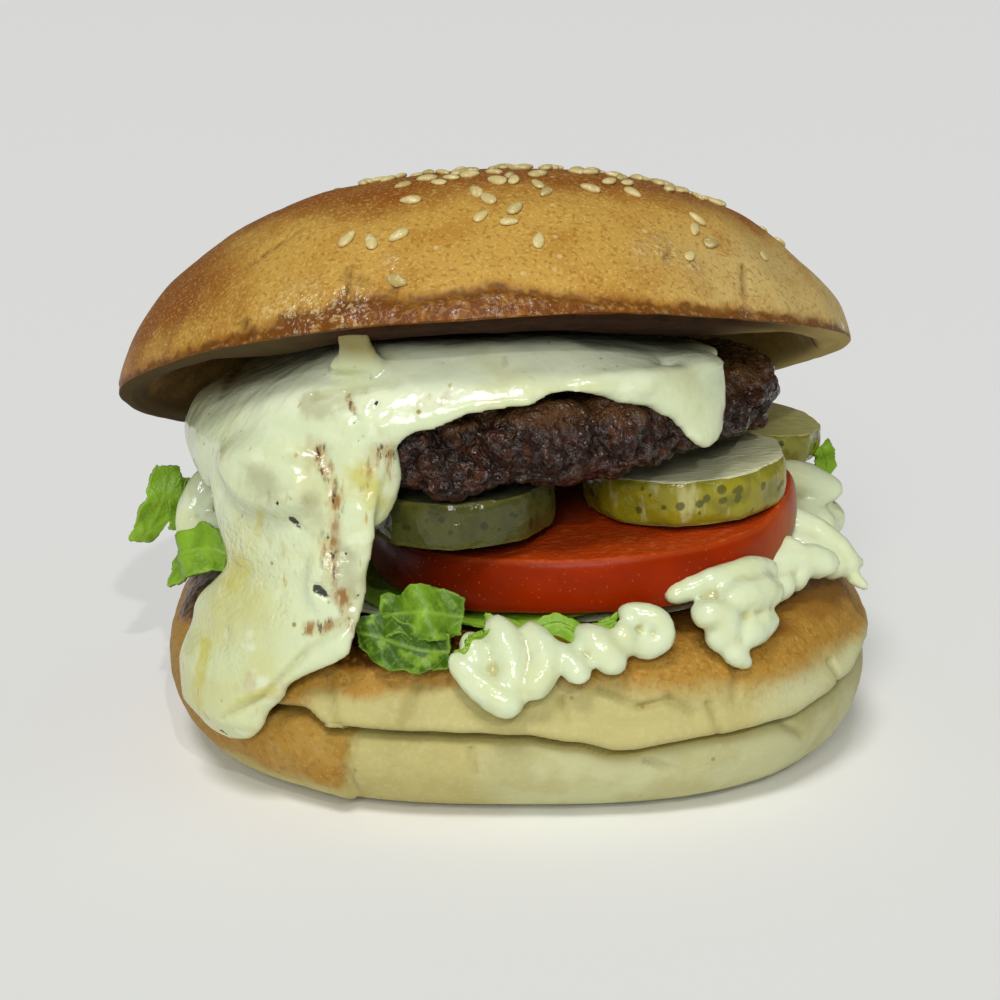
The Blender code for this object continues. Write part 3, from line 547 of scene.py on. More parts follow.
def pickled_gherkin(name, face, side, wart, face_shade):
    """Gherkin in vinegar, sliced: olive skin with dark warts, pale watery faces with fine cut lines."""
    gherkin = Finish(name, side, 0.2, 1.40, 0.3, 0.08, (1.4, 1.4, 0.5), shine=0.35)
    gherkin.coat(gherkin.ramp(gherkin.grain(3.5, 4.0), 0.46, 0.68), wart, 0.45)
    gherkin.coat(gherkin.ramp(gherkin.grain(2.0, 3.0, (1.0, 1.0, 0.3)), 0.54, 0.70), face, 0.30)
    gherkin.coat(gherkin.ragged(gherkin.mark("wart"), 0.6, 0.35, 0.35, 0.75), wart, 0.85)
    gherkin.coat(gherkin.ramp(gherkin.mark("face"), 0.3, 0.8), face)
    cut = gherkin.grain(0.9, 3.0, (0.35, 1.6, 1.0), 0.6)
    gherkin.coat(gherkin.product(gherkin.mark("face"), gherkin.ramp(cut, 0.48, 0.62)), face_shade, 0.55)
    gherkin.coat(gherkin.mark("rim"), "#6f6c26", 0.6)
    gherkin.gloss(gherkin.mark("face"), 0.34)
    gherkin.fine_relief(gherkin.product(gherkin.mark("face"), cut), 0.28)
    gherkin.fine_relief(gherkin.grain(1.1, 3.0), 0.18)
    return gherkin.done()


def torn_lettuce():
    """Fresh leaf lettuce, torn: bright green, paler along its veins, waxy."""
    green = Finish("fresh lettuce", "#7aa228", 0.34, 1.43, shine=0.25)
    # painted shade: each leaf darkened by its own set amount
    green.coat(green.ragged(green.mark("dark"), 1.8, 0.4, 0.3, 1.0), "#2c4c0a", 0.9)
    green.coat(green.ramp(green.grain(2.2, 4.0), 0.5, 0.7), "#8cb034", 0.6)
    green.coat(green.mark("vein"), "#92b446", 0.5)
    green.coat(green.mark("torn"), "#90b444", 0.5)
    green.fine_relief(green.grain(1.1, 3.0), 0.25)
    return green.done()


def piped_mayonnaise():
    """Thick egg mayonnaise, piped: smooth, glossy, ivory, darker and yellower in its folds as painted shade."""
    sauce = Finish("piped mayonnaise", "#d2dcb6", 0.2, 1.47, 0.25, 0.12, (1.6, 1.5, 0.8), shine=0.4)
    sauce.coat(sauce.ramp(sauce.grain(5.0, 2.0), 0.45, 0.68), "#cfd4a0", 0.6)
    # painted shade in the folds between strands
    sauce.coat(sauce.mark("hollow"), "#aea45c", 0.6)
    sauce.fine_relief(sauce.grain(2.2, 2.0), 0.22)
    return sauce.done()


def sesame_hull():
    """Hulled sesame, lightly baked: cream, some toasted yellow, satin."""
    hull = Finish("baked sesame seed", "#cfbd80", 0.4, 1.46, 0.2, shine=0.4)
    hull.coat(hull.mark("tone"), "#a48c48", 0.8)
    hull.coat(hull.ramp(hull.grain(0.8, 3.0), 0.5, 0.7), "#e4dcae", 0.6)
    hull.fine_relief(hull.grain(0.5, 3.0), 0.08)
    return hull.done()


# ---------------------------------------------------------------- heel bun

# Height of the long fold between the heel's upper and lower roll, by direction
HEEL_FOLD = (
    (212.0, 17.0), (232.0, 15.8), (238.0, 16.2), (242.0, 14.2), (257.0, 14.0), (270.0, 13.7), (278.0, 12.6),
    (284.0, 11.3), (295.0, 12.1), (311.0, 12.9), (326.0, 14.8), (337.0, 17.3), (352.0, 18.5),
)
HEEL_FOLD_DEPTH = 2.3
# Lower edge of the griddled rim, and how far the gold runs down below it
TOAST_LINE = (
    (0.0, 22.5, 9.0), (150.0, 23.0, 8.0), (205.0, 20.5, 9.0), (232.0, 20.0, 6.0), (244.0, 22.0, 4.5),
    (258.0, 23.0, 4.0), (268.0, 24.4, 4.0), (284.0, 24.4, 6.0), (298.0, 23.6, 7.5), (312.0, 23.2, 8.5), (325.0, 23.2, 6.0),
    (340.0, 22.8, 4.5), (360.0, 22.5, 6.0),
)
# Short wrinkles in the heel's side: start and end as (direction, height), half width
HEEL_WRINKLES = (
    ((282.0, 20.6), (287.5, 18.2), 0.55), ((287.5, 18.2), (292.0, 18.9), 0.5), ((292.0, 19.0), (295.5, 16.8), 0.6),
    ((304.0, 23.0), (302.0, 17.6), 0.45), ((254.0, 21.0), (252.5, 15.6), 0.7), ((240.6, 21.8), (243.6, 15.2), 0.5),
    ((298.0, 17.8), (299.0, 13.5), 0.45), ((276.0, 19.6), (277.0, 16.8), 0.4), ((312.0, 12.0), (316.5, 8.8), 0.7),
    ((262.5, 12.0), (263.0, 8.4), 0.45), ((289.0, 9.6), (292.5, 8.0), 0.5), ((323.0, 19.0), (324.0, 14.6), 0.5),
)
# The left end of the lower roll overlaps it: upper and lower end of that edge
HEEL_FLAP = ((245.0, 14.2), (243.0, 5.6))


def heel_outline(angle):
    """How far the outline from above bulges past a circle, as a factor."""
    side, front = abs(cos(radians(angle))), abs(sin(radians(angle)))
    square = (side ** HEEL_SQUARE + front ** HEEL_SQUARE) ** (-1.0 / HEEL_SQUARE)
    return square - 0.03 * bell(turn_gap(angle, 270.0), 28.0)


def heel_height(angle):
    """Height of the cut face's rim in the direction angle, in degrees."""
    return HEEL_TOP + HEEL_RISE * max(0.0, cos(radians(turn_gap(angle, HEEL_RISE_ANGLE)))) ** 2


def heel_point(angle, t):
    """Radius and height on the heel: t runs from the foot's middle (0) over the side to the top's (1)."""
    top = heel_height(angle)
    if t < HEEL_FOOT_END:
        radius, height = HEEL_FOOT * t / HEEL_FOOT_END, 0.0
    elif t > HEEL_TOP_START:
        radius = HEEL_TOP_RADIUS * (1.0 - t) / (1.0 - HEEL_TOP_START)
        height = top - HEEL_DISH * (1.0 - (radius / HEEL_TOP_RADIUS) ** 2)
        height -= (top - HEEL_TOP) * (1.0 - (radius / HEEL_TOP_RADIUS) ** 3)
    else:
        swing = radians(-90.0 + 180.0 * (t - HEEL_FOOT_END) / (HEEL_TOP_START - HEEL_FOOT_END))
        low, rise, inner = 0.0, HEEL_WAIST, HEEL_FOOT
        if swing >= 0.0:
            low, rise, inner = HEEL_WAIST, top - HEEL_WAIST, HEEL_TOP_RADIUS
        height = low + rise * sin(swing) if swing >= 0.0 else rise * (1.0 + sin(swing))
        radius = inner + (HEEL_RADIUS - inner) * abs(cos(swing)) ** HEEL_SIDE_CURVE
    return radius * heel_outline(angle), height


def over_heel(angle, reach, lift):
    """The point lift mm off the heel's skin, reach mm outside the start of its rounded rim."""
    t, step = HEEL_TOP_START, 0.004
    here = Vector(heel_point(angle, t))
    if reach <= 0.0:
        inside = (HEEL_TOP_RADIUS + reach) / HEEL_TOP_RADIUS
        spot, out = Vector(heel_point(angle, 1.0 - (1.0 - HEEL_TOP_START) * inside)), Vector((0.0, 1.0))
    else:
        walked = 0.0
        while walked < reach and t > 0.2:
            t -= step
            there = Vector(heel_point(angle, t))
            walked += (there - here).length
            here, before = there, here
        along = (here - before).normalized()
        spot, out = here, Vector((-along.y, along.x))
        if out.x < 0.0:
            out = -out
    spot = spot + out * lift
    return Vector((spot.x * cos(radians(angle)), spot.x * sin(radians(angle)), spot.y))


def heel_arc(point):
    """A point of the heel's side as mm round its front and mm up."""
    return radians(turn_gap(direction(point), 270.0)) * HEEL_RADIUS, point.z


def heel_lines(lines):
    """The same for (direction, height) lines."""
    return [((radians(a[0] - 270.0) * HEEL_RADIUS, a[1]), (radians(b[0] - 270.0) * HEEL_RADIUS, b[1]), width)
            for a, b, width in lines]


WRINKLES = heel_lines(HEEL_WRINKLES)
FLAP = heel_lines([(*HEEL_FLAP, 0.6)])


def heel_shape(longitude, t):
    angle = degrees(longitude)
    radius, height = heel_point(angle, t)
    x, y = radius * cos(longitude), radius * sin(longitude)
    uneven = 0.9 * bump(x, y, height, 24.0, 1) * smooth_step(t, HEEL_FOOT_END, 0.4)
    radius += uneven * (1.0 - smooth_step(t, 0.8, 0.9))
    return radius * cos(longitude), radius * sin(longitude), height


def away_from_back(angle):
    """1 on the front three quarters of a round piece, 0 at its back."""
    return smooth_step(abs(turn_gap(angle, 90.0)), 12.0, 60.0)


def on_heel_side(point):
    return smooth_step(point.z, 1.0, 4.0) * smooth_step(hypot(point.x, point.y), 40.0, 44.0)


def heel_fold_gap(point):
    """Height over the long fold, and how strong the fold is there."""
    angle = direction(point)
    strength = smooth_step(turn_gap(angle, 282.0), -74.0, -48.0) * (1.0 - smooth_step(turn_gap(angle, 282.0), 62, 84))
    wander = 0.35 * bump(point.x, point.y, 0.0, 5.0, 11)
    return point.z - between(HEEL_FOLD, angle)[0] - wander, strength


def heel_relief(point, normal):
    side = on_heel_side(point)
    x, y, z = point
    amount = 0.28 * bump(x, y, z, 9.0, 12) + 0.12 * bump(x, y, z, 3.2, 13)
    amount += 0.05 * bump(x, y, z, 1.1, 14)
    gap, strength = heel_fold_gap(point)
    overhang = HEEL_FOLD_DEPTH * bell(gap + 0.1, 0.65)
    overhang += 1.5 * exp(gap / 3.4) if gap < 0.0 else 1.5 * bell(gap, 0.5)
    amount += side * strength * (0.8 * bell(gap - 2.0, 1.6) - overhang)
    arc = heel_arc(point)
    amount -= 1.0 * side * scored(*arc, WRINKLES)
    edge, along = off_line(*arc, *FLAP[0][:2])
    if z < 15.0 and side > 0.0:
        left = FLAP[0][1][0] + (FLAP[0][0][0] - FLAP[0][1][0]) * (1.0 - along) - arc[0]
        amount += side * (1.5 * smooth_step(left, -0.2, 0.5) * exp(-max(0.0, left) / 9.0) - 0.9 * bell(left + 0.5, 0.5))
    toasted = heel_toast(point, normal)
    amount += 0.16 * toasted * bump(x, y, z, 1.3, 15) * side
    return amount if normal.z > -0.85 else 0.0


def heel_toast(point, normal):
    """1 on the griddled cut face, falling through the rim to 0 a little below it."""
    line = between(TOAST_LINE, direction(point))[0]
    x, y, z = point
    fray = 1.1 * bump(x, y, z, 4.0, 16) + 0.5 * bump(x, y, z, 1.5, 17)
    left = (1.0 - smooth_step(turn_gap(direction(point), 270.0), -12.0, 6.0)) * away_from_back(direction(point))
    singed = max(left, bell(hypot(x - 50.0, y - 10.0), 6.0))
    strength = min(1.0, 0.62 + 0.36 * singed + 0.2 * bump(x, y, z, 6.0, 20))
    return strength * smooth_step(z + fray, line - 1.3, line + 2.2)


def heel_gold(point, normal):
    angle = direction(point)
    line, reach = between(TOAST_LINE, angle)
    x, y, z = point
    fray = 1.5 * bump(x, y, z, 8.0, 18)
    gold = smooth_step(z + fray, line - reach, line)
    left = smooth_step(turn_gap(angle, 270.0), -36.0, -26.0)
    gap, strength = heel_fold_gap(point)
    baked_left = (1.0 - left) * (0.78 + 0.4 * bump(x, y, z, 7.0, 19))
    if gap < 0.0:
        edge = FLAP[0][1][0] + (FLAP[0][0][0] - FLAP[0][1][0]) * min(1.0, max(0.0, (z - 5.6) / 8.6))
        baked_left = 0.85 * smooth_step(edge - heel_arc(point)[0], -0.6, 0.4) * smooth_step(z, 2.5, 7.0)
        baked_left += 0.25 * bump(x, y, z, 5.0, 19)
    baked_left *= away_from_back(angle)
    right_end = 0.35 * smooth_step(turn_gap(angle, 2.0), -6.0, 8.0) * smooth_step(z, 3.0, 8.0)
    behind = 0.5 * smooth_step(abs(turn_gap(angle, 270.0)), 95.0, 130.0) * smooth_step(z, 3.0, 12.0)
    return max(gold, min(1.0, max(0.0, baked_left)), right_end, behind)


def heel_pale(point, normal):
    """The dough that stayed palest: the lower roll in front and the right end; at the right end it is lightened further
    as painted light, where the lamps leave it in shade.
    """
    angle = direction(point)
    gap, strength = heel_fold_gap(point)
    lower = smooth_step(-gap, -0.5, 2.5) * smooth_step(turn_gap(angle, 270.0), -14.0, 4.0)
    right = smooth_step(turn_gap(angle, 270.0), 28.0, 46.0) * (1.0 - smooth_step(point.z, 17.0, 22.0))
    return max(lower, right) * away_from_back(angle)


# Painted shade in the long fold and the short wrinkles.
def heel_fold_mark(point, normal):
    gap, strength = heel_fold_gap(point)
    side = on_heel_side(point)
    fold = strength * max(bell(gap + 0.3, 0.5), 0.75 * exp(gap / 1.6) if gap < 0.0 else 0.0)
    return side * min(1.0, max(fold, 0.75 * scored(*heel_arc(point), WRINKLES)))


def make_heel():
    heel = shaped_ball("heel_side", 520, 180, heel_shape)
    relief(heel, heel_relief)
    paint(heel, toast=heel_toast, gold=heel_gold, fold=heel_fold_mark, pale=heel_pale)
    return heel


# ---------------------------------------------------------------- crown bun

CROWN_PLACE = Matrix.Translation(CROWN_CENTRE) @ Euler(
    (radians(CROWN_PITCH), radians(CROWN_ROLL), 0.0), "XYZ").to_matrix().to_4x4()
CROWN_BACK = CROWN_PLACE.inverted()
# How far up the front of the crust the melted fat has soaked, by direction from the crown's middle
TIDE_LINE = (
    (0.0, 0.6), (190.0, 0.4), (222.0, 0.6), (236.0, 1.6), (245.0, 3.0), (253.0, 4.0), (262.0, 3.4),
    (274.0, 4.1), (282.0, 2.9), (289.0, 1.9), (298.0, 1.3), (312.0, 0.9), (330.0, 1.1), (345.0, 1.6), (360.0, 0.6),
)
# Cracks of the crust: start and end as (direction, height over the rim), half width
CROWN_CRACKS = (
    ((251.6, 8.8), (252.1, 5.8), 0.45), ((252.1, 5.8), (251.7, 3.0), 0.55), ((236.0, 3.2), (237.2, -0.6), 0.7),
    ((314.4, 8.4), (312.2, 5.4), 0.35), ((312.2, 5.4), (311.4, 2.6), 0.4), ((259.0, 5.4), (259.4, 3.4), 0.5),
    ((232.5, 12.5), (241.0, 17.0), 0.3), ((253.5, 7.6), (255.2, 6.4), 0.4), ((300.4, 9.6), (299.2, 8.2), 0.5),
)
# Glazed places, crinkled and wet, with painted glints: direction, height over the rim, half width and strength
CROWN_WET = (
    (246.0, 3.6, 4.2, 1.0), (243.0, 6.0, 3.2, 0.6), (252.5, 3.4, 3.4, 0.9), (240.5, 4.2, 2.6, 0.6),
    (299.5, 10.4, 2.6, 0.9), (295.5, 9.6, 2.0, 0.6), (303.5, 7.6, 1.8, 0.9), (258.0, 9.5, 1.6, 0.7),
    (254.5, 12.4, 2.0, 0.4), (311.0, 1.0, 2.0, 0.6), (341.0, 2.0, 1.6, 0.6),
)


def stack_roof(x, y):
    """Height that the crown's underside keeps clear of: the cheese over the patty."""
    reach = hypot((x - PATTY_CENTRE.x) / (PATTY_RADII[0] + 3.5),
                  (y - PATTY_CENTRE.y) / (PATTY_RADII[1] + 3.5))
    return cheese_top(x, y) + GAP + 0.4 - 70.0 * max(0.0, reach - 1.0)


def crown_shape(longitude, t):
    """Dome above, rounded lip, and a cut face that sinks into the stack below it."""
    if t >= CROWN_SKIN_START:
        swing = (1.0 - (t - CROWN_SKIN_START) / (1.0 - CROWN_SKIN_START)) * pi / 2.0
        part = sin(swing)
        radius = CROWN_RADIUS * part
        height = CROWN_HEIGHT * max(0.0, 1.0 - part ** CROWN_SHOULDER) ** CROWN_CURVE
    elif t >= CROWN_LIP_START:
        swing = (CROWN_SKIN_START - t) / (CROWN_SKIN_START - CROWN_LIP_START) * pi / 2.0
        radius = CROWN_RADIUS - CROWN_LIP_WIDTH * (1.0 - cos(swing))
        height = -CROWN_LIP * sin(swing)
    else:
        radius = (CROWN_RADIUS - CROWN_LIP_WIDTH) * t / CROWN_LIP_START
        height = -CROWN_LIP + CROWN_DISH * (1.0 - t / CROWN_LIP_START)
    x = radius * cos(longitude) + 0.8 * height / CROWN_HEIGHT
    y = radius * sin(longitude)
    uneven = bump(x, y, height, 26.0, 5)
    gain = 0.9 * uneven * smooth_step(radius, 20.0, 50.0)
    gain -= 1.5 * max(0.0, cos(longitude - radians(352.0))) ** 3 * smooth_step(height, 5.0, 15.0)
    low = (radius / CROWN_RADIUS) ** 5 * (1.0 if t < CROWN_SKIN_START else 1.0 - height / CROWN_HEIGHT)
    lift = CROWN_LIFT * max(0.0, cos(longitude - radians(CROWN_LIFT_ANGLE))) ** 2 * low
    place = CROWN_PLACE @ Vector((x + gain * cos(longitude), y + gain * sin(longitude),
                                  height + 0.5 * uneven + lift))
    if t < CROWN_LIP_START:
        place.z = smooth_max(place.z, stack_roof(place.x, place.y), 1.5)
    return place


def on_crown(point):
    """Direction, height over the rim and mm round the rim of a point of the crown."""
    inside = CROWN_BACK @ point
    angle = direction(inside)
    return angle, inside.z, radians(turn_gap(angle, 270.0)) * CROWN_RADIUS, inside


CRACKS = [((radians(a[0] - 270.0) * CROWN_RADIUS, a[1]), (radians(b[0] - 270.0) * CROWN_RADIUS, b[1]), width)
          for a, b, width in CROWN_CRACKS]


def crown_cut(point, normal):
    """1 on the cut face under the crown, 0 on its crust."""
    facing = CROWN_BACK.to_3x3() @ normal
    return smooth_step(-facing.z, 0.55, 0.8)


def crown_wet(point, normal):
    angle, height, arc, inside = on_crown(point)
    wet = 0.0
    for middle, level, width, strength in CROWN_WET:
        gap = hypot(radians(turn_gap(angle, middle)) * CROWN_RADIUS, height - level)
        wet = max(wet, strength * bell(gap, width))
    greased = 0.25 * smooth_step(crown_grease(point, normal), 0.5, 0.75)
    return max(wet, greased) * (1.0 - crown_cut(point, normal)) * (1.0 - crown_edge(point, normal))


def crown_grease(point, normal):
    """0.5 along the tide line, 1 about 2 mm below it."""
    angle, height, arc, inside = on_crown(point)
    tide = between(TIDE_LINE, angle)[0] + 0.7 * bump(arc, 0.0, 0.0, 4.0, 21) + 0.35 * bump(arc, height, 0.0, 1.6, 22)
    return min(1.0, max(0.0, 0.5 + 0.25 * (tide - height))) * (1.0 - crown_cut(point, normal))


def crown_browning(point, normal):
    angle, height, arc, inside = on_crown(point)
    brown = 0.9 * smooth_step(height, 12.0, 26.0)
    brown = max(brown, smooth_step(-inside.x, 24.0, 50.0) * (0.5 + 0.5 * smooth_step(height, 2.0, 12.0)))
    brown = max(brown, 0.75 * smooth_step(inside.y, -10.0, 30.0))
    return min(1.0, max(0.0, brown + 0.30 * bump(*inside, 14.0, 23) + 0.15 * bump(*inside, 5.0, 24)))


def crown_pale(point, normal):
    """The right end of the front, which the oven browned least."""
    angle, height, arc, inside = on_crown(point)
    low = 1.0 - smooth_step(height, 9.0, 19.0)
    return low * smooth_step(inside.x, 18.0, 42.0) * smooth_step(-inside.y, -10.0, 10.0)


def crown_crack(point, normal):
    angle, height, arc, inside = on_crown(point)
    ragged = 0.5 * bump(arc, height, 0.0, 1.2, 25)
    return scored(arc + ragged, height, CRACKS) * (1.0 - crown_cut(point, normal))


def crown_edge(point, normal):
    """Painted shade on the lip where the crust meets the cut face and turns under, strongest at the front right."""
    facing = CROWN_BACK.to_3x3() @ normal
    angle, height, arc, inside = on_crown(point)
    front = 0.35 + 0.65 * smooth_step(turn_gap(angle, 270.0), 0.0, 25.0)
    return front * bell(facing.z + 0.42, 0.16) * (0.75 + 0.4 * bump(arc, 0.0, 0.0, 4.0, 26))


def crown_untoasted(point, normal):
    x, y, z = point
    ragged = x + 5.0 * bump(x, y, z, 9.0, 27)
    return max(smooth_step(ragged, 22.0, 38.0) * smooth_step(y, -44.0, -20.0), 0.14 * smooth_step(-ragged, 20.0, 34.0))


def crown_relief(point, normal):
    angle, height, arc, inside = on_crown(point)
    x, y, z = inside
    cut = crown_cut(point, normal)
    amount = (0.34 - 0.14 * cut) * bump(x, y, z, 11.0, 28) + 0.10 * bump(x, y, z, 4.0, 29)
    amount += (1.0 - cut) * 0.035 * bump(x, y, z, 1.2, 30)
    amount -= 0.8 * crown_crack(point, normal)
    grease = crown_grease(point, normal)
    amount += 0.10 * smooth_step(grease, 0.45, 0.7) * bump(x, y, z, 1.6, 31)
    amount -= 0.35 * bell(grease - 0.55, 0.12)
    amount += 0.16 * crown_wet(point, normal) * bump(x, y, z, 1.3, 32)
    nib = Vector((60.0 - 8.0, -13.0, 0.2))
    amount += 1.2 * bell((inside - nib).length, 1.6)
    return amount


def make_crown():
    crown = shaped_ball("crown_crust", 500, 196, crown_shape)
    relief(crown, crown_relief)
    paint(crown, browning=crown_browning, pale=crown_pale, grease=crown_grease, crack=crown_crack,
          edge=crown_edge, cut=crown_cut, untoasted=crown_untoasted, wet=crown_wet)
    return crown


# ---------------------------------------------------------------- patty

def patty_middle(x, y):
    """Height of the patty's middle layer: it lies level in front and sags behind."""
    behind = max(0.0, y - PATTY_CENTRE.y + 4.0)
    tilt = tan(radians(-PATTY_ROLL)) * (x - PATTY_CENTRE.x)
    return PATTY_CENTRE.z + tilt - PATTY_DROOP * behind ** 2


def patty_edge(angle):
    """The patty's radius in a direction from its middle, in degrees."""
    a, b = PATTY_RADII
    plain = 1.0 / sqrt((cos(radians(angle)) / a) ** 2 + (sin(radians(angle)) / b) ** 2)
    return plain + 0.8 * sin(radians(5.0 * angle + 40.0))


def patty_shape(longitude, t):
    angle = degrees(longitude)
    edge = patty_edge(angle)
    face = 0.2
    round_edge = 5.0
    if t < face:
        radius, height = (edge - round_edge) * t / face, -1.0
    elif t > 1.0 - face:
        radius, height = (edge - round_edge) * (1.0 - t) / face, 1.0
    else:
        swing = pi * ((t - face) / (1.0 - 2.0 * face) - 0.5)
        height = sin(swing)
        radius = edge - round_edge + round_edge * abs(cos(swing)) ** 0.8
    x = PATTY_CENTRE.x + radius * cos(longitude)
    y = PATTY_CENTRE.y + radius * sin(longitude)
    z = height * PATTY_THICKNESS / 2.0
    side = smooth_step(radius, edge - 9.0, edge - 2.0)
    radius += 1.3 * side * bump(x, y, z, 5.0, 2)
    z += 0.7 * side * bump(x, y, z, 4.0, 3) - 0.5 * side * height
    x = PATTY_CENTRE.x + radius * cos(longitude)
    y = PATTY_CENTRE.y + radius * sin(longitude)
    sag = 2.4 * bell(x + 12.0, 8.0) * smooth_step(-y, 38.0, 46.0) * smooth_step(-z, -2.0, 3.0)
    lift = 2.0 * smooth_step(x, 14.0, 30.0) * smooth_step(-z, -2.0, 3.0) * smooth_step(-y, 10.0, 30.0)
    sag += left_sag(x) * smooth_step(z, -2.0, 5.0)
    return x, y, z + patty_middle(x, y) - sag + lift


def patty_side(point):
    reach = hypot((point.x - PATTY_CENTRE.x) / PATTY_RADII[0], (point.y - PATTY_CENTRE.y) / PATTY_RADII[1])
    return smooth_step(reach, 0.72, 0.9)


def patty_relief(point, normal):
    x, y, z = point
    clumps, lumps, crumbs = dome(x, y, z, 9.0, 40), dome(x, y, z, 4.0, 41), dome(x, y, z, 1.9, 42)
    side = 0.25 + 0.75 * patty_side(point)
    return side * (2.2 * clumps + 2.3 * lumps + 0.7 * crumbs - 3.7)


# Painted shade in the clefts between the lumps.
def patty_furrow(point, normal):
    x, y, z = point
    return min(1.0, max(1.1 - 1.6 * dome(x, y, z, 4.0, 41), 0.7 - 1.3 * dome(x, y, z, 1.9, 42), 0.0))


def patty_browned(point, normal):
    """Browner towards the upper edge of its side, where the cheese has kept it from charring."""
    x, y, z = point
    top = patty_middle(x, y) + PATTY_THICKNESS / 2.0
    return min(1.0, max(0.0, smooth_step(z, top - 6.5, top - 1.0) + 0.35 * bump(x, y, z, 6.0, 45)))


def make_patty():
    patty = shaped_ball("patty_crust", 600, 150, patty_shape)
    relief(patty, patty_relief)
    paint(patty, furrow=patty_furrow, browned=patty_browned)
    return patty


# ---------------------------------------------------------------- cheese

# How far the cheese runs past the start of the patty's rounded edge, by direction
# from the patty's middle: it stops short on the right and hangs on the left.
CHEESE_RUN = (
    (-45.0, 1.0), (-37.0, 2.0), (-25.0, -1.0), (-18.0, -4.0), (-10.0, -11.0), (20.0, -12.0), (48.0, 2.0), (80.0, 10.0),
    (110.0, 12.0), (140.0, 13.0), (160.0, 13.5), (190.0, 12.5), (206.0, 14.0), (222.0, 20.0), (245.0, 17.0),
    (258.0, 9.0), (270.0, 5.5), (290.0, 4.5), (304.0, 4.0), (315.0, 0.0),
)
# The drip's stations from its tip upwards: height, direction, half width, half
# thickness and distance from the heel's axis.
DRIP = (
    (9.6, 226.0, 0.5, 0.4, 60.4), (11.6, 225.5, 7.0, 2.2, 60.8), (14.6, 224.8, 9.6, 2.8, 61.4),
    (20.0, 226.0, 11.8, 2.8, 61.2), (27.0, 231.0, 16.0, 2.6, 59.2), (36.0, 234.5, 13.0, 2.6, 56.6),
    (44.0, 233.0, 15.5, 2.6, 56.2), (52.0, 231.0, 18.0, 2.0, 55.2), (57.0, 231.0, 12.0, 0.8, 54.2),
)
# Rounded swells that widen the melted sheet and its drip: middle and half sizes
CHEESE_SWELLS = (
    ((24.0, -34.5, 64.0), (5.5, 5.5, 1.7)),
    ((-21.5, -48.9, 51.0), (4.8, 2.6, 8.0)), ((-26.0, -51.2, 35.5), (4.2, 2.4, 6.5)),
)
# The bulge in the middle of the drip's upper half: middle (x, z), half sizes and height
CHEESE_BULGE = ((-35.2, 50.4), (7.4, 5.6), 3.0)
# Soiled stretches on the front of the drip, as (x, z) with half widths
CHAR_MARKS = (
    ((-27.6, 54.0), (-25.6, 47.6), 1.5), ((-25.6, 47.6), (-26.6, 41.8), 1.6), ((-26.6, 41.8), (-26.6, 35.0), 1.6),
    ((-19.8, 54.6), (-21.8, 50.2), 1.7), ((-24.6, 34.4), (-23.6, 30.2), 1.8), ((-18.4, 55.0), (-18.2, 50.4), 1.4),
    ((-24.0, 61.4), (-22.4, 59.0), 0.7), ((-30.0, 29.4), (-24.4, 31.2), 1.2),
)
CHEESE_PITS = (
    ((-32.0, 44.6), (-30.6, 43.2), 0.55), ((-28.4, 35.4), (-26.8, 34.4), 0.8), ((-20.0, 61.0), (-20.6, 60.2), 0.3),
    ((-22.6, 59.0), (-23.2, 58.2), 0.28), ((-18.6, 59.6), (-18.9, 59.1), 0.25), ((-21.6, 57.2), (-22.6, 55.8), 0.22),
    ((-33.8, 47.4), (-34.0, 46.4), 0.3), ((-24.6, 40.8), (-24.2, 40.1), 0.35), ((-23.9, 33.6), (-23.8, 33.2), 0.3),
    ((-22.7, 34.6), (-22.5, 34.3), 0.25), ((-25.4, 31.6), (-25.2, 31.3), 0.25), ((-43.4, 11.6), (-42.6, 11.0), 0.4),
)
YELLOW_MARKS = (
    ((-40.2, 36.0), (-41.8, 32.0), 2.2), ((-36.6, 45.0), (-37.4, 41.6), 0.9), ((-45.6, 24.0), (-47.0, 15.0), 1.2),
    ((-22.0, 51.2), (-18.6, 46.0), 2.4), ((-35.0, 20.5), (-41.5, 16.5), 0.9),
)
SHADE_MARKS = (
    ((-36.4, 49.0), (-34.0, 46.5), 3.4), ((-29.4, 47.5), (-28.0, 43.0), 2.2), ((-29.5, 60.0), (-22.0, 61.6), 1.8),
    ((-24.5, 40.0), (-24.0, 31.0), 2.6),
)
# The second layer's edge that crosses the lower drip
DRIP_FOLDS = (
    ((-24.0, 31.4), (-30.5, 26.2), 0.5), ((-30.5, 26.2), (-36.5, 19.0), 0.45), ((-36.5, 19.0), (-43.0, 14.6), 0.4),
)
SHEET_FOLDS = (
    ((-44.6, 57.6), (-40.0, 61.2), 0.45), ((-40.0, 61.2), (-36.0, 63.2), 0.4), ((-29.0, 61.4), (-17.0, 63.6), 0.45),
)


def cheese_path(angle, walked):
    """Radius and drop of the sheet's middle, walked mm out from its centre."""
    corner = 4.0
    flat = patty_edge(angle) - corner
    bend = corner + CHEESE_CLEARANCE + CHEESE_THICKNESS / 2.0
    if walked < flat:
        return walked, 0.0, 0.0
    if walked < flat + bend * pi / 2.0:
        turn = (walked - flat) / bend
        return flat + bend * sin(turn), -bend * (1.0 - cos(turn)), turn
    return flat + bend, -bend - (walked - flat - bend * pi / 2.0), pi / 2.0


def cheese_top(x, y):
    """The sheet climbs to the crown a little behind the patty's front edge, less so at its two ends."""
    across = min(1.0, abs(x - PATTY_CENTRE.x) / PATTY_RADII[0])
    behind = y - PATTY_CENTRE.y + PATTY_RADII[1] * sqrt(1.0 - across ** 2)
    crest = smooth_step(behind, -1.0, 8.0) * (1.0 - smooth_step(y, -14.0, 8.0))
    crest *= (1.0 - smooth_step(x, 0.0, 26.0)) * (1.0 - smooth_step(-x, 20.0, 36.0))
    return patty_middle(x, y) + PATTY_THICKNESS / 2.0 + CHEESE_CLEARANCE + CHEESE_THICKNESS + 4.0 * crest


def left_sag(x):
    """How far the patty's top and the sheet bow down towards their left end."""
    return 6.0 * smooth_step(-x, 28.0, 50.0)


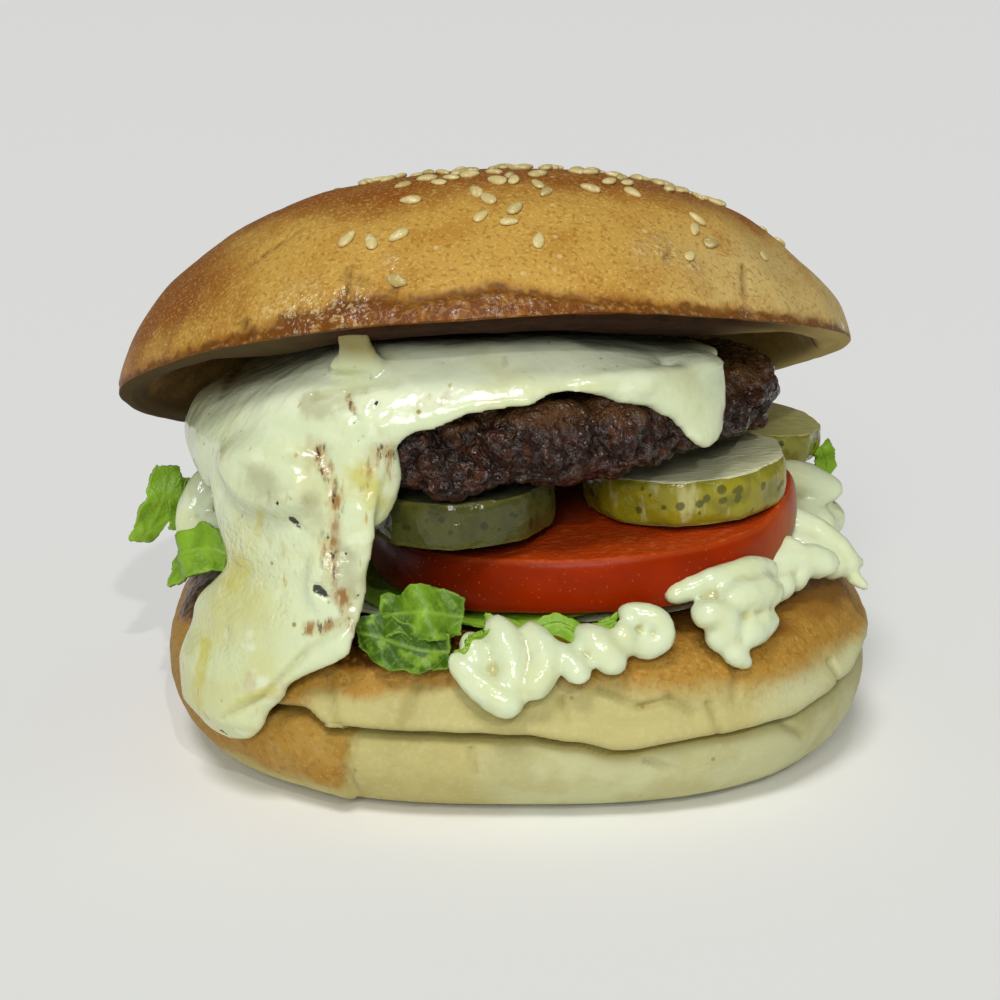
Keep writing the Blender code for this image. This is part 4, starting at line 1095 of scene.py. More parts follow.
def cheese_shape(longitude, t):
    """Outer skin for t over a half, inner skin below, meeting in the rounded hem."""
    angle = degrees(longitude)
    run = between(CHEESE_RUN, (angle + 45.0) % 360.0 - 45.0)[0]
    length = patty_edge(angle) - 4.0 + run + 0.8 * sin(radians(11.0 * angle))
    length += 0.9 * bump(20.0 * cos(longitude), 20.0 * sin(longitude), 0.0, 2.4, 51)
    outward = 1.0 if t >= 0.5 else -1.0
    q = 1.0 - abs(2.0 * t - 1.0) ** 1.6
    half = CHEESE_THICKNESS / 2.0 * sqrt(max(0.0, 1.0 - q ** 14))
    radius, drop, turn = cheese_path(angle, q * length)
    radius += outward * half * sin(turn)
    x = PATTY_CENTRE.x + radius * cos(longitude)
    y = PATTY_CENTRE.y + radius * sin(longitude)
    middle = cheese_top(x, y) - CHEESE_THICKNESS / 2.0 - left_sag(x)
    return x, y, middle + drop + outward * half * cos(turn)


def drip_shape(longitude, t):
    bottom, top = DRIP[0][0], DRIP[-1][0]
    height = bottom + (top - bottom) * t
    direction_here, half_width, half_thick, distance = between(DRIP, height)
    closing = sqrt(max(0.0, 1.0 - (2.0 * t - 1.0) ** 12))
    across = half_width * closing * cos(longitude)
    radius = distance + half_thick * closing * sin(longitude)
    angle = radians(direction_here) + across / distance
    return radius * cos(angle), radius * sin(angle), height


def string_shape(longitude, t):
    """A short string of cheese that stretches up to the crown."""
    foot, top = Vector((-22.4, -43.5, 64.5)), Vector((-23.2, -49.6, 71.4))
    spot = foot.lerp(top, t)
    radius = (1.9 + 3.4 * (1.0 - t) ** 3 + 0.8 * t ** 3) * sqrt(max(0.0, 1.0 - (2.0 * t - 1.0) ** 10))
    return spot.x + 1.1 * radius * cos(longitude), spot.y + 0.7 * radius * sin(longitude), spot.z


# The corner of the sheet that hangs over the patty's front right: height, left and right ends
CHEESE_CORNER = (
    (52.3, 25.6, 27.4), (53.4, 24.2, 28.6), (55.0, 22.8, 29.2), (57.0, 21.2, 29.4), (59.0, 18.0, 29.6),
    (61.0, 12.0, 29.8), (63.0, 6.0, 29.8), (65.0, 2.0, 29.2),
)


def corner_shape(longitude, t):
    """Follows the patty's rounded front edge."""
    bottom, top = CHEESE_CORNER[0][0], CHEESE_CORNER[-1][0]
    height = bottom + (top - bottom) * t
    left, right = between(CHEESE_CORNER, height)
    closing = sqrt(max(0.0, 1.0 - (2.0 * t - 1.0) ** 8))
    x = (left + right) / 2.0 + (right - left) / 2.0 * closing * cos(longitude)
    across = min(1.0, abs(x - PATTY_CENTRE.x) / PATTY_RADII[0])
    front = PATTY_CENTRE.y - PATTY_RADII[1] * sqrt(1.0 - across ** 2) - 0.6
    lean = 0.16 * (height - bottom)
    return x, front + lean + 1.9 * closing * sin(longitude), height


def swell(name, middle, sizes):
    def shape(longitude, t):
        swing = pi * (t - 0.5)
        return (middle[0] + sizes[0] * cos(swing) * cos(longitude),
                middle[1] + sizes[1] * cos(swing) * sin(longitude), middle[2] + sizes[2] * sin(swing))
    return shaped_ball(name, 40, 20, shape)


def faces_front(point, normal):
    """1 on what looks out to the front and left, 0 on the hidden inner side."""
    return smooth_step(-normal.y - 0.35 * normal.x + 0.5 * normal.z, -0.1, 0.35)


def flat_mark(lines, reach=1.0):
    """A mark along lines given as (x, z) on the front of the cheese."""
    def value(point, normal):
        return faces_front(point, normal) * scored(point.x, point.z, lines) * reach
    return value


def cheese_relief(point, normal):
    x, y, z = point
    amount = 0.30 * bump(x, y, z, 8.0, 52) + 0.12 * bump(x, y, z, 3.0, 53)
    front = faces_front(point, normal)
    middle, half, height = CHEESE_BULGE
    reach = hypot((x - middle[0]) / half[0], (z - middle[1]) / half[1])
    amount += front * height * smooth_step(1.25 - reach, 0.0, 0.55 + 0.5 * smooth_step(z, middle[1], middle[1] + 5.0))
    amount -= front * (0.9 * scored(x, z, DRIP_FOLDS) + 0.5 * scored(x, z, SHEET_FOLDS))
    amount -= front * (0.8 * scored(x, z, CHEESE_PITS))
    amount -= front * 0.3 * scored(x, z, CHAR_MARKS) * (1.0 + bump(x, y, z, 1.5, 54))
    return amount


def cheese_thin(point, normal):
    """Where the drip has drawn out thin and gone yellow: down its left side and at its foot."""
    x, y, z = point
    left_side = smooth_step(-x, 28.0, 38.0) * (1.0 - smooth_step(z, 33.0, 43.0))
    return left_side * min(1.0, max(0.0, 0.7 + 0.6 * bump(x, y, z, 7.0, 56)))


def cheese_level(point, normal):
    """Painted light: the sheet's top, thicker than what has run down, made paler where it faces up."""
    return smooth_step(normal.z, 0.25, 0.7) * smooth_step(point.z, 54.0, 60.0)


def cheese_stretched(point, normal):
    """Painted shade on the string, which is drawn thin up to the crown."""
    near = 1.0 - smooth_step(abs(point.x + 22.8), 3.0, 5.5)
    return near * smooth_step(-point.y, 44.5, 47.0) * smooth_step(point.z, 65.0, 69.0)


def cheese_crinkle(point, normal):
    """Where fat has beaded the drip's face."""
    x, y, z = point
    patch = max(bell(hypot(x + 38.0, z - 38.0), 7.0), 0.6 * bell(hypot(x + 34.0, z - 32.0), 5.0))
    patch = max(patch, 0.5 * bell(hypot(x + 42.0, z - 27.0), 6.0), 0.5 * bell(hypot(x + 28.0, z - 38.0), 3.0))
    return min(1.0, patch * (1.0 + bump(x, y, z, 3.0, 55))) * faces_front(point, normal)


def make_cheese():
    pieces = [shaped_ball("cheese_sheet", 300, 150, cheese_shape),
              shaped_ball("cheese_drip", 120, 90, drip_shape),
              shaped_ball("cheese_string", 40, 20, string_shape),
              shaped_ball("cheese_corner", 80, 40, corner_shape)]
    pieces += [swell("cheese_swell_" + str(i), *sizes) for i, sizes in enumerate(CHEESE_SWELLS)]
    cheese = melted_together("cheese_skin", pieces, 0.6, 6)
    relief(cheese, cheese_relief)
    paint(cheese, char=flat_mark(CHAR_MARKS), pit=flat_mark(CHEESE_PITS), yellow=flat_mark(YELLOW_MARKS),
          shade=flat_mark(SHADE_MARKS), fold=flat_mark(DRIP_FOLDS + SHEET_FOLDS), crinkle=cheese_crinkle,
          thin=cheese_thin, level=cheese_level, stretched=cheese_stretched)
    return cheese


# ---------------------------------------------------------------- tomato and pickles

def slab(name, centre, radii, thickness, tilt, lobes, segments, rings):
    """A slice: a ball pressed to a flat disc with rounded edges, then tilted."""
    place = Matrix.Translation(centre) @ Euler((radians(tilt[0]), radians(tilt[1]), 0.0)).to_matrix().to_4x4()

    def shape(longitude, t):
        plain = 1.0 / hypot(cos(longitude) / radii[0], sin(longitude) / radii[1])
        edge = plain * (1.0 + 0.012 * sin(lobes * longitude + 0.6))
        corner = 0.22 * thickness
        face = 0.3
        if t < face or t > 1.0 - face:
            part = t if t < 0.5 else 1.0 - t
            radius, height = (edge - corner) * part / face, 1.0 if t > 0.5 else -1.0
        else:
            swing = pi * ((t - face) / (1.0 - 2.0 * face) - 0.5)
            radius = edge - corner + corner * abs(cos(swing)) ** 0.5
            height = (1.0 if swing > 0 else -1.0) * abs(sin(swing)) ** 0.85
        return place @ Vector((radius * cos(longitude), radius * sin(longitude), height * thickness / 2.0))

    return shaped_ball(name, segments, rings, shape), place.inverted()


def tomato_under(x, y):
    """Height of the tomato slice's lower face, also where it is read outside the slice."""
    rise = tan(radians(TOMATO_TILT[0])) * (y - TOMATO_CENTRE.y)
    rise -= tan(radians(TOMATO_TILT[1])) * (x - TOMATO_CENTRE.x)
    return TOMATO_CENTRE.z - TOMATO_THICKNESS / 2.0 + rise


def make_tomato():
    tomato, back = slab("tomato_skin", TOMATO_CENTRE, TOMATO_RADII, TOMATO_THICKNESS, TOMATO_TILT, 5, 360, 110)

    def flesh(point, normal):
        return smooth_step(abs((back.to_3x3() @ normal).z), 0.55, 0.9)

    def rind(point, normal):
        return bell(abs((back.to_3x3() @ normal).z) - 0.6, 0.16)

    # painted light on the right end of the skin
    def light(point, normal):
        inside = back @ point
        return smooth_step(inside.x, 20.0, 31.0) * (1.0 - flesh(point, normal)) * (0.7 + 0.5 * bump(*point, 4.0, 61))

    # painted shadow on the left front of the slice
    def deep(point, normal):
        inside = back @ point
        shaded = smooth_step(-inside.x, 6.0, 24.0) * smooth_step(-inside.y, 0.0, 10.0)
        return shaded * (0.9 + 0.2 * bump(*point, 6.0, 62))

    def uneven(point, normal):
        x, y, z = point
        return 0.22 * bump(x, y, z, 9.0, 63) + 0.10 * flesh(point, normal) * bump(x, y, z, 2.2, 64)

    for vert in tomato.data.vertices:
        vert.co.z += 2.6 * MM * smooth_step((back @ (vert.co / MM)).x, 25.0, 33.0)
    relief(tomato, uneven)
    paint(tomato, flesh=flesh, rind=rind, light=light, deep=deep)
    return tomato


def make_pickle(name, seed):
    centre, radius, thickness, pitch, roll = PICKLES[name]
    pickle, back = slab(name + "_skin", centre, (radius, radius), thickness, (pitch, roll), 3, 220, 90)

    draw = random.Random(seed)
    warts = [(draw.uniform(-pi, pi), draw.triangular(-0.38, 0.38, 0.2) * thickness, draw.uniform(0.3, 0.9))
             for _ in range(int(3.2 * radius))]

    def face(point, normal):
        return smooth_step(abs((back.to_3x3() @ normal).z), 0.6, 0.85)

    def wart(point, normal):
        """1 on the dark ring of a wart, less in its middle."""
        x, y, z = back @ point
        around, deepest = atan2(y, x), 0.0
        for middle, level, size in warts:
            gap = hypot((around - middle) * radius, z - level)
            if gap < 2.5:
                deepest = max(deepest, bell(gap - 0.25 * size, 0.75 * size))
        return deepest

    def rim(point, normal):
        return bell(abs((back.to_3x3() @ normal).z) - 0.55, 0.2)

    def uneven(point, normal):
        x, y, z = back @ point
        around = atan2(y, x)
        side = 1.0 - face(point, normal)
        ridge = 0.35 * sin(9.0 * around + seed) + 0.25 * bump(4.0 * around, z, 0.0, 2.2, seed)
        crumple = 0.55 * bump(x, y, z, 3.4, seed + 1) + 0.25 * bump(x, y, z, 1.6, seed + 2)
        dish = -0.45 * (1.0 - side) * (1.0 - (hypot(x, y) / radius) ** 2)
        return side * (0.5 * ridge + 0.5 * crumple) + dish + 0.12 * bump(x, y, z, 5.0, seed + 3)

    relief(pickle, uneven)
    paint(pickle, face=face, rim=rim, wart=wart)
    return pickle


# ---------------------------------------------------------------- lettuce

def leaf(name, spine, width, ruffle, lean, seed, depth, columns=60, rows=24, jag=0.3):
    """A torn leaf: a grid laid along a curved spine, ruffled and toothed at its edges, given a wall."""
    bm = bmesh.new()
    bmesh.ops.create_grid(bm, x_segments=columns, y_segments=rows, size=0.5)
    side = Vector(lean).normalized()
    spans = {}
    for vert in bm.verts:
        along, across = vert.co.x + 0.5, vert.co.y
        spans[vert.index] = (along, across)
    bm.verts.ensure_lookup_table()
    vein_layer = bm.verts.layers.float.new("vein")
    torn_layer = bm.verts.layers.float.new("torn")
    dark_layer = bm.verts.layers.float.new("dark")
    for vert in bm.verts:
        along, across = vert.co.x + 0.5, vert.co.y
        place = Vector(spine_point(spine, along))
        ahead = Vector(spine_point(spine, min(1.0, along + 0.02))) - Vector(spine_point(spine, max(0.0, along - 0.02)))
        up = ahead.cross(side).normalized()
        narrow = width * (0.72 + 0.28 * sin(pi * along)) * (1.0 + 0.25 * bump(along * 9, 0, 0, 2.0, seed))
        tooth = jag * (abs(across) * 2.0) ** 6 * (2.0 * bump(along * 7.0, across, 0, 1.0, seed + 1)
                                                  + 0.5 * bump(along * 24.0, across, 0, 1.0, seed + 2))
        wave = ruffle * (0.35 + 1.3 * abs(across)) * sin(4.0 * pi * along + 3.0 * across + seed)
        crinkle = 0.35 * bump(place.x + across * width, place.y, place.z + across * 3.0, 2.4, seed + 3)
        end_tooth = jag * 0.8 * (abs(2.0 * along - 1.0) ** 8) * bump(across * 12.0, along, 0, 1.0, seed + 4)
        branch = abs((along * 5.0 + abs(across) * 2.6 + seed * 0.37) % 1.0 - 0.5)
        vein = max(bell(across, 0.03), 0.5 * bell(branch, 0.05) * smooth_step(abs(across), 0.02, 0.1))
        vert.co = (place + side * (across * narrow + (tooth if across > 0 else -tooth)) + up * (wave + crinkle)
                   + up * 0.22 * vein + ahead.normalized() * end_tooth) * MM
        vert[vein_layer] = vein
        vert[torn_layer] = smooth_step(max(abs(across) * 2.0, abs(2.0 * along - 1.0)), 0.90, 1.0)
        # painted shade: the leaf's set amount, made uneven
        vert[dark_layer] = depth + 0.4 * bump(along * 6.0, across * 3.0, 0, 1.6, seed + 5)
    mesh = bpy.data.meshes.new(name)
    bm.to_mesh(mesh)
    bm.free()
    made = to_object(name, mesh)
    wall = made.modifiers.new("wall", "SOLIDIFY")
    wall.thickness = LETTUCE_THICKNESS * MM
    wall.offset = 0.0
    return settle(made)


def bed_leaf_shape(longitude, t):
    """The leaf layer under the tomato: thin, level and ragged at its edge."""
    edge = 31.0 + 2.0 * sin(3.0 * longitude + 1.0) + 1.0 * sin(7.0 * longitude)
    part = 1.0 - abs(2.0 * t - 1.0)
    radius = edge * part ** 0.8
    x, y = 2.0 + radius * cos(longitude), -12.0 + radius * sin(longitude)
    half = LETTUCE_THICKNESS / 2.0 * sqrt(max(0.0, 1.0 - part ** 16))
    wave = 0.35 * sin(x / 3.1) * sin(y / 3.7 + 1.0)
    return x, y, tomato_under(x, y) - 1.4 + wave + (half if t > 0.5 else -half)


# ---------------------------------------------------------------- mayonnaise

def bed_shape(longitude, t):
    """The spread under the leaf and the tomato."""
    edge = BED_RADIUS + 1.5 * sin(5.0 * longitude) + 1.0 * sin(9.0 * longitude + 2.0)
    part = 1.0 - abs(2.0 * t - 1.0)
    radius = edge * part ** 0.8
    x, y = radius * cos(longitude), radius * sin(longitude)
    inside = (1.0 - HEEL_TOP_START) * min(1.0, radius / HEEL_TOP_RADIUS)
    low = heel_point(degrees(longitude), 1.0 - inside)[1] + GAP
    high = max(min(tomato_under(x, y) - BED_CLEARANCE, low + 3.0), low + 0.8)
    closing = sqrt(max(0.0, 1.0 - part ** 10))
    middle, half = (low + high) / 2.0, (high - low) / 2.0 * closing
    return x, y, middle + (half if t > 0.5 else -half)


def rope_point(walked, start, turn_radius):
    """The piped rope: loops that swing between the rim and the heel's side."""
    angle = start + degrees(walked / turn_radius)
    phase = 2.0 * pi * walked / ROPE_LOOP
    side = 1.0 - smooth_step(turn_gap(angle, 285.0), 20.0, 45.0)
    swing = ROPE_SWING * (1.0 + 0.25 * bump(walked, 0, 0, 15.0, 6))
    reach = 0.5 + 3.5 * side + swing * cos(phase)
    lift = ROPE_RADIUS + 1.2 + 1.0 * sin(phase)
    return (*over_heel(angle + 3.2 * sin(phase), reach, lift), ROPE_RADIUS - 0.3 + 0.3 * sin(1.9 * phase))


# The piped strands that show at the front and right: (x, y, z, radius) along each
STRANDS = {
    "lip": ((-9.9, -54.0, 26.8, 0.6), (-8.6, -54.6, 24.9, 1.7), (-5.6, -56.0, 22.4, 2.3), (-2.2, -57.0, 20.4, 2.4),
            (0.2, -56.8, 20.2, 2.0)),
    "left_fold": ((-7.6, -50.6, 28.4, 1.6), (-6.6, -53.2, 26.2, 2.0), (-4.6, -54.8, 23.6, 2.0)),
    "upright": ((-4.2, -49.6, 30.4, 2.0), (-2.4, -52.8, 28.2, 2.3), (-1.2, -55.0, 24.8, 2.4), (-1.6, -56.6, 21.2, 2.2)),
    "second": ((0.6, -50.6, 29.6, 2.0), (3.0, -53.6, 27.0, 2.3), (2.6, -55.6, 23.6, 2.4), (0.6, -56.8, 20.9, 2.0)),
    "knob": ((4.4, -52.0, 27.4, 1.9), (6.8, -54.6, 25.4, 1.9), (8.0, -55.6, 23.9, 2.0), (8.4, -55.4, 23.0, 1.7)),
    "roll": ((7.6, -50.4, 28.8, 2.2), (10.4, -52.4, 27.6, 2.6), (12.2, -53.2, 25.4, 2.7), (11.8, -52.8, 23.6, 2.2)),
    "loop": ((13.4, -48.8, 30.8, 1.5), (16.0, -49.4, 31.0, 1.7), (18.6, -49.7, 30.5, 1.8), (20.2, -49.7, 28.6, 1.8),
             (19.2, -50.0, 26.7, 1.9), (16.8, -50.6, 26.4, 1.9), (15.6, -50.3, 28.0, 1.7)),
    "loop_middle": ((16.8, -49.2, 29.0, 2.2), (18.2, -49.3, 28.4, 2.3)),
    "loop_fold": ((13.6, -50.8, 30.2, 1.5), (14.6, -51.6, 27.6, 1.8), (13.6, -51.0, 25.0, 1.8)),
    "ridge": ((20.4, -45.0, 31.8, 1.7), (25.2, -43.6, 33.2, 1.9), (29.8, -41.8, 34.2, 2.0), (34.6, -38.6, 34.4, 2.0),
              (36.8, -36.0, 33.2, 1.6)),
    "curl": ((24.8, -46.6, 29.0, 2.5), (26.4, -47.6, 30.4, 2.2), (28.8, -47.0, 29.6, 2.3), (28.6, -47.0, 26.8, 2.4),
             (26.2, -47.4, 27.2, 2.2)),
    "heap": ((27.8, -45.8, 31.0, 2.2), (31.6, -44.2, 31.6, 2.6), (35.0, -41.4, 31.8, 2.6), (36.8, -39.2, 30.0, 2.2)),
    "heap_low": ((30.2, -46.0, 28.2, 2.8), (32.6, -45.0, 27.0, 2.6), (35.2, -42.6, 27.4, 2.2), (36.9, -40.4, 27.2, 1.3)),
    "point": ((29.0, -47.2, 26.0, 2.2), (30.6, -47.2, 24.0, 1.8), (32.2, -46.4, 22.6, 1.1), (32.8, -45.8, 21.9, 0.6)),
    "rag": ((36.6, -39.0, 32.0, 1.2), (38.2, -38.2, 31.0, 0.8)),
    "nub": ((34.0, -31.0, 31.6, 2.4), (38.4, -29.4, 32.6, 2.4), (42.2, -28.0, 32.8, 2.5), (45.8, -26.4, 31.6, 2.7),
            (46.6, -26.0, 30.4, 2.0)),
    "nub_low": ((35.4, -34.0, 28.8, 2.0), (38.4, -32.4, 29.6, 2.2), (40.8, -31.0, 30.2, 2.0)),
    "nub_fold": ((38.6, -27.0, 35.0, 1.7), (41.2, -28.0, 34.2, 1.8), (42.0, -28.8, 31.4, 1.9), (40.4, -30.0, 28.6, 1.8)),
    "ribbon": ((36.0, -17.0, 36.4, 2.2), (40.6, -17.6, 36.6, 2.3), (44.8, -18.6, 35.2, 2.3), (48.2, -19.8, 32.8, 2.3),
               (50.2, -20.8, 30.4, 2.2), (51.4, -21.6, 28.6, 1.6)),
    "ribbon_low": ((38.0, -20.4, 33.6, 2.2), (43.0, -20.8, 33.0, 2.4), (47.2, -21.6, 30.8, 2.5), (49.6, -22.2, 28.8, 2.2)),
    "tip_high": ((49.6, -20.0, 31.0, 1.3), (51.6, -20.2, 30.4, 1.0), (53.0, -20.4, 29.9, 0.8)),
    "tip_low": ((50.6, -21.6, 28.6, 1.3), (52.4, -22.0, 27.4, 0.9), (53.7, -22.2, 26.4, 0.6)),
    "worm": ((36.0, -4.0, 38.6, 2.6), (41.2, -4.4, 40.0, 2.8), (46.0, -4.0, 39.2, 2.9), (49.6, -3.8, 37.4, 2.6),
             (50.6, -3.6, 36.2, 1.9)),
    "worm_side": ((40.6, -9.0, 39.2, 1.6), (41.0, -10.6, 37.4, 1.6), (40.4, -11.6, 35.0, 1.5)),
}
LEFT_STRANDS = {
    "left_up": ((-46.5, -10.0, 43.0, 1.9), (-49.6, -11.5, 40.0, 2.4), (-51.6, -12.5, 35.0, 2.4), (-51.5, -12.0, 30.5, 2.0)),
    "left_groove": ((-45.4, -12.0, 42.0, 1.3), (-47.8, -13.4, 39.2, 1.5), (-49.8, -14.0, 35.4, 1.5)),
    "left_low": ((-51.5, -13.0, 32.5, 2.0), (-48.0, -15.5, 34.6, 2.1), (-43.0, -18.0, 36.5, 2.1)),
}


def sauce_hollow(made):
    """Painted shade: how far each point lies in a fold between strands, from the skin's own curvature."""
    bm = bmesh.new()
    bm.from_mesh(made.data)
    bm.verts.ensure_lookup_table()
    values = []
    for vert in bm.verts:
        middle = sum((edge.other_vert(vert).co for edge in vert.link_edges), Vector()) / len(vert.link_edges)
        values.append((middle - vert.co).dot(vert.normal) / MM)
    for _ in range(3):
        values = [0.4 * values[vert.index] + 0.6 * sum(values[e.other_vert(vert).index] for e in vert.link_edges)
                  / len(vert.link_edges) for vert in bm.verts]
    bm.free()
    layer = made.data.attributes.new("hollow", "FLOAT", "POINT")
    layer.data.foreach_set("value", [smooth_step(value, 0.012, 0.06) for value in values])


def make_mayonnaise():
    pieces = [shaped_ball("sauce_bed", 120, 30, bed_shape)]
    turn_radius = 50.0
    for name, start, arc in (("sauce_rope_right", 348.0, 22.0), ("sauce_rope_back", 20.0, 150.0)):
        count = int(radians(arc) * turn_radius / 1.6)
        pieces.append(tube(name, [rope_point(i * 1.6, start, turn_radius) for i in range(count)]))
    pieces += [tube("sauce_" + name, stations) for name, stations in STRANDS.items()]
    sauce = melted_together("mayonnaise_rope", pieces, 0.55, 4)
    relief(sauce, sauce_relief)
    sauce_hollow(sauce)
    return sauce


def sauce_relief(point, normal):
    x, y, z = point
    return 0.25 * bump(x, y, z, 3.6, 71) + 0.10 * bump(x, y, z, 1.5, 72)


def make_left_mayonnaise():
    sauce = melted_together("mayonnaise_left_rope", [tube("sauce_" + name, stations)
                                                     for name, stations in LEFT_STRANDS.items()], 0.4, 4)
    relief(sauce, sauce_relief)
    sauce_hollow(sauce)
    return sauce


# ---------------------------------------------------------------- sesame seeds

SEED_SIZE = (3.0, 1.9, 0.95)
# Single seeds on the front of the crown: direction and height over its rim
LONE_SEEDS = (
    (250.5, 13.7), (254.6, 12.8), (258.8, 13.4), (259.4, 6.2), (259.6, 19.4), (271.7, 15.6), (276.0, 14.4),
    (277.4, 16.7), (273.1, 18.7), (271.1, 20.1), (280.0, 11.1), (283.3, 19.4), (282.4, 20.9), (310.1, 15.8),
    (307.8, 13.8), (309.8, 11.7), (303.8, 9.1), (322.0, 11.0), (261.1, 23.8), (292.0, 20.2), (300.0, 19.7),
)
SEED_SPREAD = 440


def seed_points(crown):
    """A point for each seed on the crown's skin, with the turn that lays it flat."""
    tree = BVHTree.FromPolygons([vert.co / MM for vert in crown.data.vertices],
                                [tuple(face.vertices) for face in crown.data.polygons])
    draw = random.Random(7)
    middle = CROWN_PLACE @ Vector((0.0, 0.0, 14.0))
    aims = []
    for angle, height in LONE_SEEDS:
        part = max(0.0, 1.0 - (height / CROWN_HEIGHT) ** (1.0 / CROWN_CURVE)) ** (1.0 / CROWN_SHOULDER)
        aims.append((angle, CROWN_RADIUS * part, height))
    tries = 0
    while len(aims) < SEED_SPREAD + len(LONE_SEEDS) and tries < 9000:
        tries += 1
        angle = draw.uniform(0.0, 360.0)
        reach = CROWN_RADIUS * sqrt(draw.uniform(0.0, 0.93))
        part = reach / CROWN_RADIUS
        height = CROWN_HEIGHT * max(0.0, 1.0 - part ** CROWN_SHOULDER) ** CROWN_CURVE
        front = abs(turn_gap(angle, 270.0)) < 80.0
        if front and height < 21.5 + 2.5 * (abs(turn_gap(angle, 300.0)) > 45.0):
            continue
        across = reach * cos(radians(angle))
        crowd = smooth_step(across, -24.0, -8.0) if sin(radians(angle)) < 0.3 else 0.55
        if draw.random() > crowd * (1.0 if height > 20.0 else 0.35):
            continue
        aims.append((angle, reach, height))
    places, turns, tones = [], [], []
    for angle, reach, height in aims:
        aim = CROWN_PLACE @ Vector((reach * cos(radians(angle)), reach * sin(radians(angle)), height))
        hit, normal, _, _ = tree.ray_cast(middle, (aim - middle).normalized())
        if hit is None or any((hit - other).length < 1.7 for other in places):
            continue
        across = normal.orthogonal().normalized()
        across.rotate(Matrix.Rotation(draw.uniform(0.0, 2.0 * pi), 3, normal))
        lean = normal + 0.18 * Vector((draw.gauss(0, 1), draw.gauss(0, 1), draw.gauss(0, 1)))
        up = (lean - across * lean.dot(across)).normalized()
        turn = Matrix((across, up.cross(across), up)).transposed().to_euler()
        places.append(hit + normal * 0.22)
        turns.append(turn)
        tones.append(draw.random() ** 2)
    mesh = bpy.data.meshes.new("seed_places")
    mesh.from_pydata([place * MM for place in places], [], [])
    turn_layer = mesh.attributes.new("turn", "FLOAT_VECTOR", "POINT")
    turn_layer.data.foreach_set("vector", [value for turn in turns for value in turn])
    mesh.attributes.new("tone", "FLOAT", "POINT").data.foreach_set("value", tones)
    made = bpy.data.objects.new("sesame_seeds", mesh)
    bpy.context.scene.collection.objects.link(made)
    return made


def seed_tree():
    """Lays a teardrop-shaped seed at every point, turned as the point says."""
    tree = bpy.data.node_groups.new("lay_seeds", "GeometryNodeTree")
    face = tree.interface
    face.new_socket("Points", in_out="INPUT", socket_type="NodeSocketGeometry")
    for name in ("Length", "Width", "Thickness", "Size spread"):
        face.new_socket(name, in_out="INPUT", socket_type="NodeSocketFloat")
    face.new_socket("Random seed", in_out="INPUT", socket_type="NodeSocketInt")
    face.new_socket("Finish", in_out="INPUT", socket_type="NodeSocketMaterial")
    face.new_socket("Seeds", in_out="OUTPUT", socket_type="NodeSocketGeometry")
    given = add_node(tree, "NodeGroupInput").outputs
    ball = add_node(tree, "GeometryNodeMeshUVSphere", {"Segments": 12, "Rings": 8, "Radius": 0.5})
    place = add_node(tree, "GeometryNodeInputPosition").outputs[0]
    along = add_node(tree, "ShaderNodeSeparateXYZ", {0: place}).outputs[0]
    taper = add_node(tree, "ShaderNodeMapRange", {"Value": along, "From Min": -0.5, "From Max": 0.5,
                                                  "To Min": 1.12, "To Max": 0.60}).outputs[0]
    width = add_node(tree, "ShaderNodeMath", {0: given["Width"], 1: taper}, operation="MULTIPLY").outputs[0]
    sizes = add_node(tree, "ShaderNodeCombineXYZ", {0: given["Length"], 1: width, 2: given["Thickness"]}).outputs[0]
    shaped = add_node(tree, "ShaderNodeVectorMath", {0: place, 1: sizes}, operation="MULTIPLY").outputs[0]
    seed = add_node(tree, "GeometryNodeSetPosition", {"Geometry": ball.outputs[0], "Position": shaped})
    smooth = add_node(tree, "GeometryNodeSetShadeSmooth", {"Geometry": seed.outputs[0]})
    turn = add_node(tree, "GeometryNodeInputNamedAttribute", {"Name": "turn"}, data_type="FLOAT_VECTOR").outputs[0]
    turned = add_node(tree, "FunctionNodeEulerToRotation", {0: turn}).outputs[0]
    smallest = add_node(tree, "ShaderNodeMath", {0: 1.0, 1: given["Size spread"]}, operation="SUBTRACT").outputs[0]
    largest = add_node(tree, "ShaderNodeMath", {0: 1.0, 1: given["Size spread"]}, operation="ADD").outputs[0]
    size = add_node(tree, "FunctionNodeRandomValue", {2: smallest, 3: largest, "Seed": given["Random seed"]},
                    data_type="FLOAT")
    laid = add_node(tree, "GeometryNodeInstanceOnPoints", {
        "Points": given["Points"], "Instance": smooth.outputs[0], "Rotation": turned,
        "Scale": next(socket for socket in size.outputs if socket.enabled)})
    real = add_node(tree, "GeometryNodeRealizeInstances", {"Geometry": laid.outputs[0]})
    finished = add_node(tree, "GeometryNodeSetMaterial", {"Geometry": real.outputs[0], "Material": given["Finish"]})
    add_node(tree, "NodeGroupOutput", {"Seeds": finished.outputs[0]})
    return tree


def make_seeds(crown, hull):
    seeds = seed_points(crown)
    seeds.data.materials.append(hull)
    lay = seeds.modifiers.new("lay", "NODES")
    tree = seed_tree()
    lay.node_group = tree
    values = {"Length": SEED_SIZE[0] * MM, "Width": SEED_SIZE[1] * MM, "Thickness": SEED_SIZE[2] * MM,
              "Size spread": 0.14, "Random seed": 3, "Finish": hull}
    for item in tree.interface.items_tree:
        if item.in_out == "INPUT" and item.name in values:
            lay[item.identifier] = values[item.name]
    return settle(seeds)


# ---------------------------------------------------------------- putting it together

def hand_over(made, node, finish=None):
    if finish:
        made.data.materials.clear()
        made.data.materials.append(finish)
    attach(made, "root")
    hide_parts(node)


crust = baked_crust()
crown = make_crown()
hand_over(crown, "crown_bun", crust)
hand_over(make_seeds(crown, sesame_hull()), "crown_bun")
hand_over(make_heel(), "heel_bun", steamed_crumb())
hand_over(make_patty(), "patty", grilled_beef())
hand_over(make_cheese(), "cheese", melted_cheese())
hand_over(make_tomato(), "tomato", tomato_slice())
